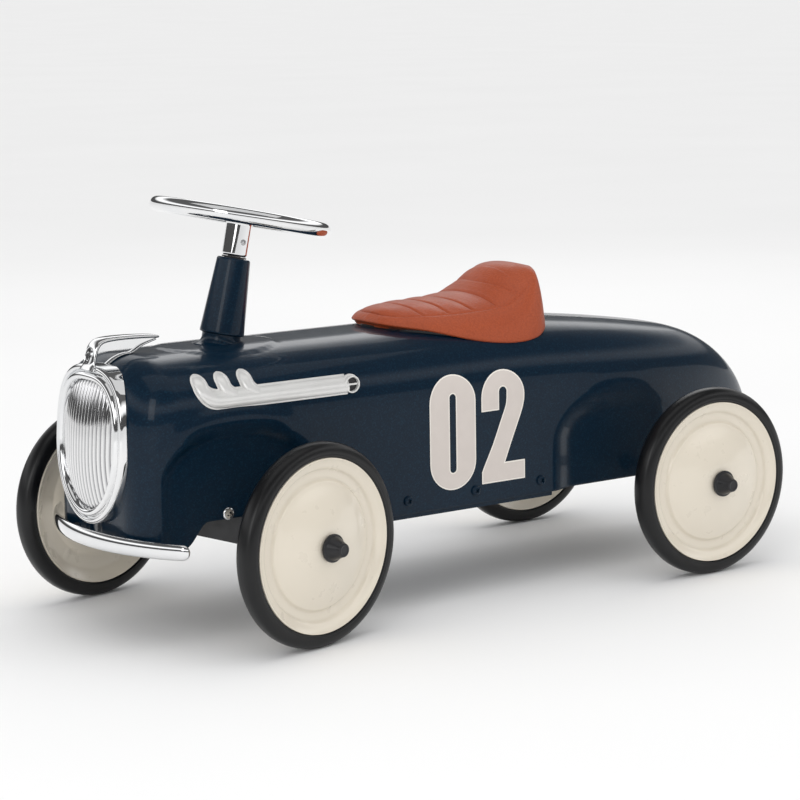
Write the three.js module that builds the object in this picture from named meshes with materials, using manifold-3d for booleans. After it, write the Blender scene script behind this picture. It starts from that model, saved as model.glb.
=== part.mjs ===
// Foot-to-floor ride-on racing car in pressed steel.
// Millimetres, +Z up, the car faces -Y, +X is the driver's left. The origin is on the floor,
// under the middle of the car's length and width.
import * as THREE from "three";
import { mergeVertices } from "three/addons/utils/BufferGeometryUtils.js";
import Module from "manifold-3d";

// ---- driving dimensions ----
const GAP = 0.3; // clearance between pieces that touch
const FRONT_AXLE_Y = -262;
const REAR_AXLE_Y = 227;
const HALF_TRACK = 152; // middle plane of a wheel from the middle plane of the car
const AXLE_R = 5;
const STEER_AT_REST = 12; // the front axle stands turned this many degrees, left wheel back

const WHEEL_R = 92.5;
const RIM_R = 78.6; // edge of the pressed discs
const RIM_OUT = 9.65; // half width across the two disc edges
const DISC_T = 1.2;
const HUB_OUT = 17; // outer face of the hub from the wheel's middle plane
const HUB_IN = 12.5; // inner face of the hub
const BUSH_R = 8.4;
const WHEEL_SIDES = 20;

const SHEET = 1.5; // steel of the body shell
const BODY_HALF_W = 91;
const BODY_FRONT_Y = -371;
const BODY_TAIL_Y = 406; // where the tail would close to a point
const TAIL_CUT = 1; // the tail ends this much before it, in a narrow flat
const EDGE_Z = 91; // lower edge of the shell
const SIDE_Z = 186; // height where the side wall starts to turn over
const HOOD_Z = 257; // crown of the hood
const FRONT_CORNER = 40; // rounding between the front face, the sides and the hood
const TAIL_FROM_Y = 92; // where the body starts to narrow towards the tail
const TAIL_DROP_Y = 262; // where the crown starts to round down to the tail
const CROWN_POWER = 3; // how square the shoulder of the cross-section is
const ARCH_HALF = 74; // half length of a pressed wheel arch
const ARCH_DEPTH = 8;
// Each arch: its middle, its top, and the height where its upright sides start to close.
const ARCHES = [{ y: -276, top: 194, turn: 150 }, { y: 160, top: 182, turn: 138 }];
// Lower edge of the shell over the front axle, where it is raised.
const FRONT_EDGE = { y0: -324, y1: -207, z: 112 };

const COLUMN_Y = -211.4; // middle of the steering wheel, which sets the column's tilt
const COLUMN_Z = 371.1;
const SHAFT_R = 6;
const KINGPIN_Z = 142; // height where the shaft drives the kingpin
const CROSS_Z = 124; // underside of the front cross-member
const CROSS_T = 2.5;

// ---- colours ----
const paint = (color, roughness, metalness) =>
  new THREE.MeshStandardMaterial({ color, roughness, metalness });
const NAVY = () => paint(0x0c2a44, 0.25, 0.4);
const CHROME = () => paint(0xdedede, 0.08, 1);
const SATIN = () => paint(0xd2d0cc, 0.35, 0.9);
const CREAM = () => paint(0xe1d7c6, 0.3, 0);
const RUBBER = () => paint(0x28282a, 0.6, 0);
const BLACK = () => paint(0x16171a, 0.45, 0.1);
const LEATHER = () => paint(0xb2502d, 0.55, 0);
const BEIGE = () => paint(0xd4cac4, 0.5, 0);
const STEEL = () => paint(0x9a9c9e, 0.35, 1);
const BRONZE = () => paint(0x8c6b3c, 0.45, 0.9);

// ---- solids ----
const wasm = await Module();
wasm.setup();
const rad = THREE.MathUtils.degToRad;

// A closed three.js geometry as a solid that can be cut and joined.
function solid(geometry) {
  const g = geometry.clone();
  g.deleteAttribute("normal");
  g.deleteAttribute("uv");
  const m = mergeVertices(g, 1e-4);
  return new wasm.Manifold(
    new wasm.Mesh({
      numProp: 3,
      vertProperties: m.attributes.position.array,
      triVerts: new Uint32Array(m.index.array),
    }),
  );
}

function geometryOf(manifold) {
  const mesh = manifold.getMesh();
  const g = new THREE.BufferGeometry();
  g.setAttribute("position", new THREE.BufferAttribute(new Float32Array(mesh.vertProperties), 3));
  g.setIndex(new THREE.BufferAttribute(new Uint32Array(mesh.triVerts), 1));
  return g;
}

// Rings of equal length joined into one closed solid. Each ring runs counter-clockwise as seen
// from -Y, and the rings follow each other towards +Y.
function loft(rings) {
  const n = rings[0].length;
  const points = rings.flat();
  const faces = [];
  for (let k = 0; k + 1 < rings.length; k++) {
    for (let i = 0; i < n; i++) {
      const a = k * n + i;
      const b = k * n + ((i + 1) % n);
      faces.push([a, b + n, b], [a, a + n, b + n]);
    }
  }
  for (const k of [0, rings.length - 1]) {
    const flat = rings[k].map((p) => new THREE.Vector2(p.x, p.z));
    for (const face of THREE.ShapeUtils.triangulateShape(flat, [])) {
      const tri = face.map((i) => i + k * n);
      faces.push(k === 0 ? tri : tri.reverse());
    }
  }
  const g = new THREE.BufferGeometry();
  const flat = points.flatMap((p) => [p.x, p.y, p.z]);
  g.setAttribute("position", new THREE.Float32BufferAttribute(flat, 3));
  g.setIndex(faces.flat());
  return g;
}

const box = (x, y, z, cx = 0, cy = 0, cz = 0) =>
  new THREE.BoxGeometry(x, y, z).translate(cx, cy, cz);

// A turned piece: pairs of radius and height, closed on itself or ended on the axis, about +Z.
const turned = (pairs, sides) =>
  new THREE.LatheGeometry(pairs.map(([r, z]) => new THREE.Vector2(r, z)), sides).rotateX(Math.PI / 2);

// A round bar about +X from x0 to x1.
const barX = (r, x0, x1, sides = 12) =>
  new THREE.CylinderGeometry(r, r, x1 - x0, sides)
    .rotateZ(-Math.PI / 2)
    .translate((x0 + x1) / 2, 0, 0);
const barZ = (r, z0, z1, sides = 12) =>
  new THREE.CylinderGeometry(r, r, z1 - z0, sides).rotateX(Math.PI / 2).translate(0, 0, (z0 + z1) / 2);

const extruded = (shape, depth, segments = 6) =>
  new THREE.ExtrudeGeometry(shape, { depth, bevelEnabled: false, curveSegments: segments });
const axis = (x, y, z) => new THREE.Vector3(x, y, z);
// Turns an extrusion drawn in (y, z) so that its depth runs along +X.
const acrossCar = (geometry) =>
  geometry.applyMatrix4(new THREE.Matrix4().makeBasis(axis(0, 1, 0), axis(0, 0, 1), axis(1, 0, 0)));

const group = new THREE.Group();
function piece(name, geometry, material, parent = group) {
  const mesh = new THREE.Mesh(geometry, material);
  mesh.name = name;
  parent.add(mesh);
  return mesh;
}

// ---- body shell ----
function rounded(depth, r) {
  const d = THREE.MathUtils.clamp(depth, 0, r);
  return r - Math.sqrt(r * r - (r - d) * (r - d));
}

// Half width of the side wall at a place along the car, t inside the outer skin.
function halfWidth(y, t) {
  const front = rounded(y - BODY_FRONT_Y - t, FRONT_CORNER - t);
  const part = THREE.MathUtils.clamp((y - TAIL_FROM_Y) / (BODY_TAIL_Y - TAIL_FROM_Y), 0, 1);
  return (BODY_HALF_W - front) * Math.pow(1 - Math.pow(part, 2.3), 0.62) - t;
}

// Height of the crown: level over the hood, a slow fall behind the seat, then the round tail.
function crownZ(y, t = 0) {
  const front = rounded(y - BODY_FRONT_Y - t, FRONT_CORNER - t);
  const fall = 0.0003 * Math.max(y + 20, 0) ** 2;
  const part = THREE.MathUtils.clamp((y - TAIL_DROP_Y) / (BODY_TAIL_Y - TAIL_DROP_Y), 0, 1);
  return EDGE_Z + (HOOD_Z - EDGE_Z - front - fall) * Math.sqrt(1 - Math.pow(part, 2.2)) - t;
}

const OVER_STEPS = 7;
// Cross-section inset by t, from the left lower edge over the crown to the right lower edge.
function bodyRing(y, t, zLow) {
  const w = Math.max(halfWidth(y, t), 3);
  const top = Math.max(crownZ(y, t), EDGE_Z + 12);
  const zs = Math.min(SIDE_Z, EDGE_Z + (top - EDGE_Z) * 0.58);
  const half = [[w, zLow], [w, zs]];
  for (let i = 1; i <= OVER_STEPS; i++) {
    const a = (i / OVER_STEPS) * (Math.PI / 2);
    half.push([
      w * Math.pow(Math.cos(a), 2 / CROWN_POWER),
      zs + (top - zs) * Math.pow(Math.sin(a), 2 / CROWN_POWER),
    ]);
  }
  half[half.length - 1][0] = 0;
  const other = half.slice(0, -1).reverse().map(([x, z]) => [-x, z]);
  return [...half, ...other].map(([x, z]) => new THREE.Vector3(x, y, z));
}

function stations(from, to, corner) {
  const ys = [];
  for (let i = 0; i <= 5; i++) ys.push(from + corner * (1 - Math.cos((i / 5) * Math.PI / 2)));
  for (const y of [-240, -120, 0, 92, 140, 185, 225, 262, 292, 320, 345, 365, 380, 391]) ys.push(y);
  ys.push(to);
  return ys;
}

// A wheel arch's outline seen from the side, grown by t, as a prism across the car.
const ARCH_STEPS = 10;
function archPrism(arch, t, x0, x1) {
  const a = ARCH_HALF + t;
  const shape = new THREE.Shape();
  shape.moveTo(-a, 0);
  shape.lineTo(-a, arch.turn);
  for (let i = 1; i <= ARCH_STEPS; i++) {
    const q = Math.PI * (1 - i / ARCH_STEPS);
    shape.lineTo(a * Math.cos(q), arch.turn + (arch.top + t - arch.turn) * Math.sin(q));
  }
  shape.lineTo(a, 0);
  shape.closePath();
  return acrossCar(extruded(shape, x1 - x0)).translate(x0, arch.y, 0);
}

const WELL_OUT = 120; // clear of the sides
function bodyCore(t, zLow) {
  const ys = stations(BODY_FRONT_Y + t, BODY_TAIL_Y - TAIL_CUT - t, FRONT_CORNER - t);
  let core = solid(loft(ys.map((y) => bodyRing(y, t, zLow))));
  const wall = BODY_HALF_W - ARCH_DEPTH - t;
  for (const arch of ARCHES) {
    for (const range of [[wall, WELL_OUT], [-WELL_OUT, -wall]]) {
      core = core.subtract(solid(archPrism(arch, t, ...range)));
    }
  }
  return core;
}

// ---- pieces cut from and shaped to the shell ----
const WALL_X = BODY_HALF_W - ARCH_DEPTH; // outer face of the wall inside a wheel arch
const SIDE_SCREW_Y = [-92, -14, 64];
const SIDE_SCREW_Z = 104;
const FRONT_SCREW = { y: -282, z: 117 };
const SEAT_BOLT_Y = [-22, 62];
const FLOOR = { y0: -110, y1: 79, z: 87, t: 1.5, lip: 25 };
const CROSS = { y0: -292, y1: -232 };
const REAR_NOTCH = { w: 15, z: 99 }; // slot in the lower edge for the rear axle
const TRIM_T = 4;
const DIGIT_T = 0.6;

// Spheres, bars and prisms as solids, placed with a translation.
const at = (geometry, x, y, z) => solid(geometry).translate([x, y, z]);
const drillX = (r, y, z) => at(barX(r, -120, 120), 0, y, z);

// What lies between two offsets of the outer skin, used for pieces that follow it.
const skins = new Map();
function skin(t) {
  if (!skins.has(t)) skins.set(t, bodyCore(t, EDGE_Z - 20));
  return skins.get(t);
}
const layer = (cutter, inner, outer) => cutter.intersect(skin(-outer)).subtract(skin(-inner));

const columnTilt = Math.atan((COLUMN_Y - FRONT_AXLE_Y) / (COLUMN_Z - KINGPIN_Z));
const tiltDeg = THREE.MathUtils.radToDeg(columnTilt);
const alongColumn = (m) => m.rotate([-tiltDeg, 0, 0]).translate([0, FRONT_AXLE_Y, KINGPIN_Z]);

function shellSolid() {
  let shell = bodyCore(0, EDGE_Z).subtract(bodyCore(SHEET, EDGE_Z - 20));
  const { y0, y1, z } = FRONT_EDGE;
  shell = shell.subtract(solid(box(300, y1 - y0, 40, 0, (y0 + y1) / 2, z - 20)));
  shell = shell.subtract(solid(box(300, REAR_NOTCH.w, 40, 0, REAR_AXLE_Y, REAR_NOTCH.z - 20)));
  for (const y of SIDE_SCREW_Y) shell = shell.subtract(drillX(2.5, y, SIDE_SCREW_Z));
  shell = shell.subtract(drillX(2.8, FRONT_SCREW.y, FRONT_SCREW.z));
  for (const y of SEAT_BOLT_Y) shell = shell.subtract(at(barZ(3.3, 200, 300), 0, y, 0));
  return shell.subtract(alongColumn(solid(barZ(9, 80, 150, 16))));
}
piece("body_shell", geometryOf(shellSolid()), NAVY());

// ---- floor plate ----
function floorSolid() {
  const w = BODY_HALF_W - SHEET - GAP;
  const length = FLOOR.y1 - FLOOR.y0;
  const y = (FLOOR.y0 + FLOOR.y1) / 2;
  let plate = at(box(2 * w, length, FLOOR.t), 0, y, FLOOR.z + FLOOR.t / 2);
  for (const side of [-1, 1]) {
    const lip = box(FLOOR.t, length, FLOOR.lip);
    plate = plate.add(at(lip, side * (w - FLOOR.t / 2), y, FLOOR.z + FLOOR.lip / 2));
  }
  for (const sy of SIDE_SCREW_Y) plate = plate.subtract(drillX(2.5, sy, SIDE_SCREW_Z));
  return plate;
}
piece("floor_plate", geometryOf(floorSolid()), BLACK());

// A pan-head screw through a wall, its axis along X and its head outside at x.
function panScrew(name, side, x, y, z, headR, shankR, length, material) {
  const pairs = [
    [0, -length], [shankR, -length], [shankR, GAP], [headR, GAP],
    [headR, 1.2], [headR * 0.72, 2.4], [0, 2.7],
  ];
  const screw = piece(name, turned(pairs, 8), material);
  screw.rotation.y = side * Math.PI / 2;
  screw.position.set(side * x, y, z);
}
const SIDES = [["left", 1], ["right", -1]];
for (const [word, side] of SIDES) {
  SIDE_SCREW_Y.forEach((y, i) =>
    panScrew(`side_screw_${word}_${i + 1}`, side, BODY_HALF_W, y, SIDE_SCREW_Z, 5, 2.2, 7, NAVY()));
  panScrew(`front_screw_${word}`, side, WALL_X, FRONT_SCREW.y, FRONT_SCREW.z, 5.7, 2.5, 7, CHROME());
}

// ---- front cross-member: a folded plate that carries the kingpin ----
function crossSolid() {
  const w = WALL_X - SHEET - GAP;
  const length = CROSS.y1 - CROSS.y0;
  const y = (CROSS.y0 + CROSS.y1) / 2;
  let m = at(box(2 * w, length, CROSS_T), 0, y, CROSS_Z + CROSS_T / 2);
  for (const side of [-1, 1]) {
    m = m.add(at(box(CROSS_T, length, 14), side * (w - CROSS_T / 2), y, CROSS_Z + CROSS_T - 7));
  }
  m = m.subtract(at(barZ(8.4, 100, 150, 16), 0, FRONT_AXLE_Y, 0));
  return m.subtract(drillX(2.8, FRONT_SCREW.y, FRONT_SCREW.z));
}
piece("front_cross_member", geometryOf(crossSolid()), BLACK());

// ---- rear axle and the bracket that holds it ----
const BRACKET = { halfW: 76, halfL: 18, top: 115, t: 2.5, bottom: 84 };
function rearBracketSolid() {
  const plate = box(2 * BRACKET.halfW, 2 * BRACKET.halfL, BRACKET.t);
  let m = at(plate, 0, REAR_AXLE_Y, BRACKET.top - BRACKET.t / 2);
  const drop = BRACKET.top - BRACKET.bottom;
  for (const side of [-1, 1]) {
    const x = side * (BRACKET.halfW - BRACKET.t / 2);
    m = m.add(at(box(BRACKET.t, 2 * BRACKET.halfL, drop), x, REAR_AXLE_Y, BRACKET.top - drop / 2));
  }
  return m.subtract(at(barX(AXLE_R + GAP, -120, 120, 16), 0, REAR_AXLE_Y, WHEEL_R));
}
piece("rear_axle_bracket", geometryOf(rearBracketSolid()), BLACK());

const AXLE_HALF = HALF_TRACK + HUB_OUT + 10;
const axle = (name, parent) => piece(name, barX(AXLE_R, -AXLE_HALF, AXLE_HALF, 12), STEEL(), parent);
axle("rear_axle", group).position.set(0, REAR_AXLE_Y, WHEEL_R);

// ---- hub caps: push-on caps that close the axle ends ----
const CAP_PROFILE = [
  [AXLE_R + GAP, 2], [12.8, 2], [12.8, 3.6], [10.6, 4.4], [6.2, 14.4], [5.4, 16.8], [0, 17.2],
  [0, 11], [AXLE_R + GAP, 11], [AXLE_R + GAP, 2],
];
function hubCap(name, side, parent) {
  const cap = piece(name, turned(CAP_PROFILE, 12), BLACK(), parent);
  cap.rotation.y = side * Math.PI / 2;
  cap.position.set(side * (HALF_TRACK + HUB_OUT), 0, WHEEL_R);
  return cap;
}
for (const [word, side] of SIDES) hubCap(`rear_cap_${word}`, side, group).position.y = REAR_AXLE_Y;

// ---- wheels: two pressed discs on a bush, with a solid tyre between their edges ----
// A wheel's polygon has a flat, not a corner, at its lowest point, and its flats touch the true circle.
const FLAT = Math.cos(Math.PI / WHEEL_SIDES);
const wheelTurned = (pairs) =>
  turned(pairs.map(([r, z]) => [r / FLAT, z]), WHEEL_SIDES).rotateZ(Math.PI / WHEEL_SIDES);
// Radius and offset of the outer disc's visible face, from the hub to the edge.
const DISC_FACE = [[BUSH_R + 0.6, 16.4], [20, 15.5], [42, 10], [60, 3.2], [68, 3.4], [RIM_R, RIM_OUT]];
function disc(name, wheel, outward, reach) {
  const face = DISC_FACE.map(([r, z]) => [r, z * (r > 66 ? 1 : reach)]);
  const back = face.map(([r, z]) => [r, z - DISC_T]).reverse();
  const mesh = piece(name, wheelTurned([...face, ...back, face[0]].reverse()), CREAM(), wheel);
  mesh.rotation.y = outward * Math.PI / 2;
}
// Radius and offset of one half of the tyre's section, from the tread inwards.
const TYRE_HALF = [[WHEEL_R, 2.6], [90.6, 7.2], [84.5, 10], [79.2, 9.6], [79, 7.6], [75, 3.6]];
function tyreGeometry() {
  const left = TYRE_HALF.map(([r, z]) => [r, -z]).reverse();
  return wheelTurned([...left, ...TYRE_HALF, left[0]]).rotateY(Math.PI / 2);
}
function wheelSet(name, side, parent, y) {
  const wheel = new THREE.Group();
  wheel.position.set(side * HALF_TRACK, y, WHEEL_R);
  parent.add(wheel);
  disc(`${name}_disc_outer`, wheel, side, 1);
  disc(`${name}_disc_inner`, wheel, -side, 0.62);
  piece(`${name}_tyre`, tyreGeometry(), RUBBER(), wheel);
  const bush = turned([
    [AXLE_R + GAP, -HUB_IN], [BUSH_R, -HUB_IN], [BUSH_R, HUB_OUT], [AXLE_R + GAP, HUB_OUT],
    [AXLE_R + GAP, -HUB_IN],
  ], 16);
  piece(`${name}_bush`, bush, BLACK(), wheel).rotation.y = side * Math.PI / 2;
}
for (const [word, side] of SIDES) wheelSet(`rear_${word}`, side, group, REAR_AXLE_Y);

// ---- front carriage: everything that turns about the upright kingpin ----
const carriage = new THREE.Group();
carriage.position.y = FRONT_AXLE_Y;
carriage.rotation.z = rad(STEER_AT_REST);
group.add(carriage);
for (const [word, side] of SIDES) {
  wheelSet(`front_${word}`, side, carriage, 0);
  hubCap(`front_cap_${word}`, side, carriage);
}
axle("front_axle", carriage).position.z = WHEEL_R;

// Inverted channel, deep at the kingpin and shallow at the wheels. Half outline in x and z.
const BEAM_HALF_L = HALF_TRACK - HUB_IN - 2;
const BEAM_HALF_Y = 17;
const BEAM_T = 2.5;
const BEAM_TOP = [[0, 122], [46, 122], [74, 110], [BEAM_HALF_L, 101]];
const BEAM_BOTTOM_Z = 84;
function beamOutline(drop, low) {
  const right = BEAM_TOP.map(([x, z]) => [x, z - drop]);
  const left = BEAM_TOP.slice(1).map(([x, z]) => [-x, z - drop]).reverse();
  const points = [[BEAM_HALF_L, low], ...right.reverse(), ...left.reverse(), [-BEAM_HALF_L, low]];
  return new THREE.Shape(points.map(([x, z]) => new THREE.Vector2(x, z)));
}
function beamPrism(drop, low, halfY, grow) {
  return solid(
    extruded(beamOutline(drop, low), 2 * halfY).rotateX(Math.PI / 2).translate(0, halfY, 0).scale(grow, 1, 1),
  );
}
function beamSolid() {
  const inner = beamPrism(BEAM_T, BEAM_BOTTOM_Z - 10, BEAM_HALF_Y - BEAM_T, 1.1);
  return beamPrism(0, BEAM_BOTTOM_Z, BEAM_HALF_Y, 1).subtract(inner).subtract(solid(barZ(8.3, 100, 140, 16)));
}
piece("front_beam", geometryOf(beamSolid()), BLACK(), carriage);

const PIN_R = 8;
piece("kingpin", turned([
  [0, 113.5], [14, 113.5], [14, 119.2], [PIN_R, 119.2], [PIN_R, 132.2], [0, 132.2],
], 16), STEEL(), carriage);
piece("thrust_washer", turned([
  [PIN_R + 0.4, 122.3], [15, 122.3], [15, 123.7], [PIN_R + 0.4, 123.7], [PIN_R + 0.4, 122.3],
], 16), BRONZE(), carriage);

// Slotted boss pressed on the kingpin: the steering shaft's blade turns it.
const BLADE_T = 4;
const SLOT_PLAY = 1.1;
function bossSolid() {
  const z0 = CROSS_Z + CROSS_T + GAP;
  const body = solid(barZ(13, z0, 150, 16));
  const slot = at(box(BLADE_T + 2 * SLOT_PLAY, 40, 40), 0, 0, 134 + 20);
  return body.subtract(solid(barZ(PIN_R + GAP, z0 - 5, 132.5, 16))).subtract(slot);
}
piece("kingpin_boss", geometryOf(bossSolid()), STEEL(), carriage);

// ---- steering column, along its own tilted axis ----
const column = new THREE.Group();
column.position.set(0, FRONT_AXLE_Y, KINGPIN_Z);
column.rotation.x = -columnTilt;
group.add(column);
const turning = new THREE.Group();
turning.rotation.z = rad(STEER_AT_REST);
column.add(turning);

const SLEEVE_TOP = 196.5;
const WHEEL_AT = 234.6; // plane of the steering wheel along the column
const RING_R = 77.3;
const RING_TUBE = 6.9;
const HUB_R = 12;
const SLEEVE_PROFILE = [
  [7.4, 100], [17, 100], [17.3, 117], [19.4, 121], [20.4, 127], [15.5, 195], [14.6, SLEEVE_TOP],
  [9.6, SLEEVE_TOP], [9.6, 186], [7.4, 186], [7.4, 100],
];
const sleeve = alongColumn(solid(turned(SLEEVE_PROFILE, 20))).subtract(skin(-GAP));
piece("column_sleeve", geometryOf(sleeve), NAVY());
piece("column_bush", turned([
  [SHAFT_R + GAP, 186.3], [9.3, 186.3], [9.3, SLEEVE_TOP + GAP], [11.5, SLEEVE_TOP + GAP],
  [11.5, SLEEVE_TOP + 1.6], [SHAFT_R + GAP, SLEEVE_TOP + 1.6], [SHAFT_R + GAP, 186.3],
], 16), BLACK(), column);

function shaftSolid() {
  const round = solid(barZ(SHAFT_R, 12, 224, 12));
  return round.add(at(box(BLADE_T, 14, 20), 0, 0, 4));
}
piece("steering_shaft", geometryOf(shaftSolid()), STEEL(), turning);

function steeringWheelSolid() {
  let m = solid(new THREE.TorusGeometry(RING_R, RING_TUBE, 8, 28).translate(0, 0, WHEEL_AT));
  m = m.add(solid(turned([
    [0, SLEEVE_TOP + 2], [HUB_R - 1.6, SLEEVE_TOP + 2], [HUB_R, SLEEVE_TOP + 4], [HUB_R, WHEEL_AT + 2],
    [HUB_R - 2, WHEEL_AT + 4], [0, WHEEL_AT + 4],
  ], 20)));
  for (const turn of [90, 210, 330]) {
    m = m.add(solid(box(RING_R - 4, 12, 4, (RING_R - 4) / 2 + 4, 0, WHEEL_AT)).rotate([0, 0, turn]));
  }
  m = m.subtract(solid(barZ(SHAFT_R + GAP, 190, 224.5, 12)));
  return m.subtract(solid(barX(2.6, 8, 20, 10).translate(0, 0, 212)).rotate([0, 0, -STEER_AT_REST]));
}
piece("steering_wheel", geometryOf(steeringWheelSolid()), CHROME(), turning);

const screwTurn = new THREE.Group();
screwTurn.rotation.z = -rad(STEER_AT_REST);
turning.add(screwTurn);
piece("steering_screw", barX(2.2, 8.4, HUB_R + 0.8, 10), STEEL(), screwTurn).position.z = 212;

// ---- seat, its base plate and bolts ----
const SEAT_PLAN = [
  [-78, 10], [-73, 27], [-60, 43], [-40, 56], [-14, 67], [16, 74], [44, 76.5], [70, 76], [85, 71],
  [98, 59], [107, 42], [112.5, 22], [114, 6],
];
function seatPlan(inset) {
  const drawnIn = ([y, x]) => new THREE.Vector2(Math.max(x - inset, 3), y + (y < 0 ? inset : -inset));
  const right = SEAT_PLAN.map(drawnIn);
  const left = [...right].reverse().map((p) => new THREE.Vector2(-p.x, p.y));
  return new THREE.Shape([...right, ...left]);
}
const seatPrism = (inset) => solid(extruded(seatPlan(inset), 140)).translate([0, 0, 190]);
const boltHole = (r) => {
  const holes = SEAT_BOLT_Y.map((y) => at(barZ(r, 200, 270), 0, y, 0));
  return holes[0].add(holes[1]);
};
piece("seat_base", geometryOf(layer(seatPrism(3), GAP, 2.3).subtract(boltHole(3.3))), BLACK());

// Height of the padding's top along the middle of the seat, and how it falls to the sides.
const SEAT_TOP = [
  [-78, 263], [-72, 270], [-58, 275], [-26, 278], [0, 278], [20, 279], [34, 282], [46, 288],
  [58, 297], [68, 304], [82, 307], [96, 307.5], [105, 304], [111, 294], [114, 270],
];
function seatSolid() {
  const curve = SEAT_TOP.map(([y, z]) => ({ y, z }));
  const rings = curve.map(({ y, z }) => {
    const x = Math.max(seatHalf(y), 5);
    const low = 190;
    const edge = Math.min(z - 4, crownZ(0) - 4);
    const half = [[x, low], [x, edge], [x * 0.9, edge + (z - edge) * 0.5], [x * 0.62, z - 3], [0, z]];
    const other = half.slice(0, -1).reverse().map(([a, b]) => [-a, b]);
    return [...half, ...other].map(([a, b]) => new THREE.Vector3(a, y, b));
  });
  const floorUnder = solid(box(300, 400, 60, 0, 0, 228 - 30));
  return solid(loft(rings)).subtract(skin(-2.6)).subtract(floorUnder).subtract(boltHole(3.3));
}
function seatHalf(y) {
  for (let i = 1; i < SEAT_PLAN.length; i++) {
    const [y0, x0] = SEAT_PLAN[i - 1];
    const [y1, x1] = SEAT_PLAN[i];
    if (y <= y1) return x0 + ((x1 - x0) * (y - y0)) / (y1 - y0);
  }
  return SEAT_PLAN[SEAT_PLAN.length - 1][1];
}
piece("seat", geometryOf(seatSolid()), LEATHER());
SEAT_BOLT_Y.forEach((y, i) => {
  const z = crownZ(y) - SHEET - GAP;
  const bolt = turned([[0, -4.5], [6, -4.5], [6, -0.6], [3, -0.6], [3, 12], [0, 12]], 12);
  piece(`seat_bolt_${i + 1}`, bolt, STEEL()).position.set(0, y, z);
});

// ---- grille ----
const GRILLE_Z = 178.5;
const GRILLE_LEAN = 0.061; // how far the grille's face leans back for each millimetre of height
const SURROUND = { a: 62, b: 71.5, front: 8, back: 25 };
const INSERT = { a: 47.6, b: 57.6, bulge: 12, depth: 6 };
// An oval whose upper half is squarer than its lower half, in (x, z).
const UPPER_POWER = 2.9;
const OVAL_STEPS = 56;
function ovalShape(a, b, upper = UPPER_POWER) {
  const points = [];
  for (let i = 0; i < OVAL_STEPS; i++) {
    const q = (2 * Math.PI * i) / OVAL_STEPS;
    const power = 2 / (Math.sin(q) > 0 ? upper : 2);
    const reach = (v) => Math.sign(v) * Math.pow(Math.abs(v), power);
    points.push(new THREE.Vector2(a * reach(Math.cos(q)), b * reach(Math.sin(q))));
  }
  return new THREE.Shape(points);
}
// Drawn in (x, z), extruded forwards from y, and leaned back with its height where lean is given.
const forward = (geometry, y, lean = 0) =>
  geometry.rotateX(Math.PI / 2).translate(0, y, 0)
    .applyMatrix4(new THREE.Matrix4().set(1, 0, 0, 0, 0, 1, lean, 0, 0, 0, 1, 0, 0, 0, 0, 1));
function ovalPrism(a, b, from, to) {
  const prism = forward(extruded(ovalShape(a, b), from - to), BODY_FRONT_Y + from, GRILLE_LEAN);
  return solid(prism).translate([0, 0, GRILLE_Z]);
}
function surroundSolid() {
  const { a, b, front, back } = SURROUND;
  const hole = ovalPrism(INSERT.a + 0.4, INSERT.b + 0.4, back + 10, -front - 10);
  return ovalPrism(a, b, back, -front - GAP).subtract(hole).subtract(skin(-GAP));
}
piece("grille_surround", geometryOf(surroundSolid()), CHROME());
const BEVEL = 7.6;
function insertSolid() {
  const bulged = new THREE.ExtrudeGeometry(ovalShape(INSERT.a - BEVEL, INSERT.b - BEVEL), {
    depth: INSERT.depth, bevelEnabled: true, bevelThickness: INSERT.bulge, bevelSize: BEVEL, bevelSegments: 4,
  });
  const m = solid(forward(bulged, BODY_FRONT_Y + 4, GRILLE_LEAN)).translate([0, 0, GRILLE_Z]);
  return m.subtract(skin(-GAP));
}
piece("grille_insert", geometryOf(insertSolid()), SATIN());

// ---- hood ornament: an arm that sweeps back over the hood, with an oval badge ----
const ORNAMENT_W = 14;
const ORNAMENT = [
  [-376, 244], [-373, 249], [-369.4, 267], [-365, 271.3], [-358, 273.5], [-340, 274], [-307, 273.3],
  [-300.5, 269], [-304, 265.5], [-322, 265], [-345, 264], [-356, 256], [-360, 243],
];
function ornamentSolid() {
  const shape = new THREE.Shape(ORNAMENT.map(([y, z]) => new THREE.Vector2(y, z)));
  const bar = solid(acrossCar(extruded(shape, ORNAMENT_W)).translate(-ORNAMENT_W / 2, 0, 0));
  const clear = ovalPrism(SURROUND.a + 0.4, SURROUND.b + 0.4, 40, -40);
  return bar.subtract(skin(-GAP)).subtract(clear);
}
piece("hood_ornament", geometryOf(ornamentSolid()), CHROME());
const BADGE = { a: 5.2, b: 7.4, t: 1.6, y: -371.2, z: 258, lean: 0.2 };
const badge = forward(extruded(ovalShape(BADGE.a, BADGE.b, 2), BADGE.t), 0, BADGE.lean);
piece("ornament_badge", badge, BLACK()).position.set(0, BADGE.y - GAP, BADGE.z);

// ---- bumper ----
const BUMPER = { front: -390, endX: 126, endY: -348, z: 88.5, h: 16, depth: 9 };
function bumperShape() {
  const arc = (front, endX, endY) => {
    const rise = endY - front;
    const r = (endX * endX + rise * rise) / (2 * rise);
    const span = Math.asin(endX / r);
    const points = [];
    for (let i = -8; i <= 8; i++) {
      const a = (span * i) / 8;
      points.push(new THREE.Vector2(r * Math.sin(a), front + r - r * Math.cos(a)));
    }
    return points;
  };
  const outer = arc(BUMPER.front, BUMPER.endX, BUMPER.endY);
  const inner = arc(BUMPER.front + BUMPER.depth, BUMPER.endX - 2, BUMPER.endY + 2).reverse();
  return new THREE.Shape([...outer, ...inner]);
}
piece("bumper", extruded(bumperShape(), BUMPER.h).translate(0, 0, BUMPER.z), CHROME());
for (const [word, side] of SIDES) {
  const bolt = new THREE.CylinderGeometry(4, 4, 5, 10);
  piece(`bumper_bolt_${word}`, bolt, STEEL()).position.set(side * 34, -374, 97);
}

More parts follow.
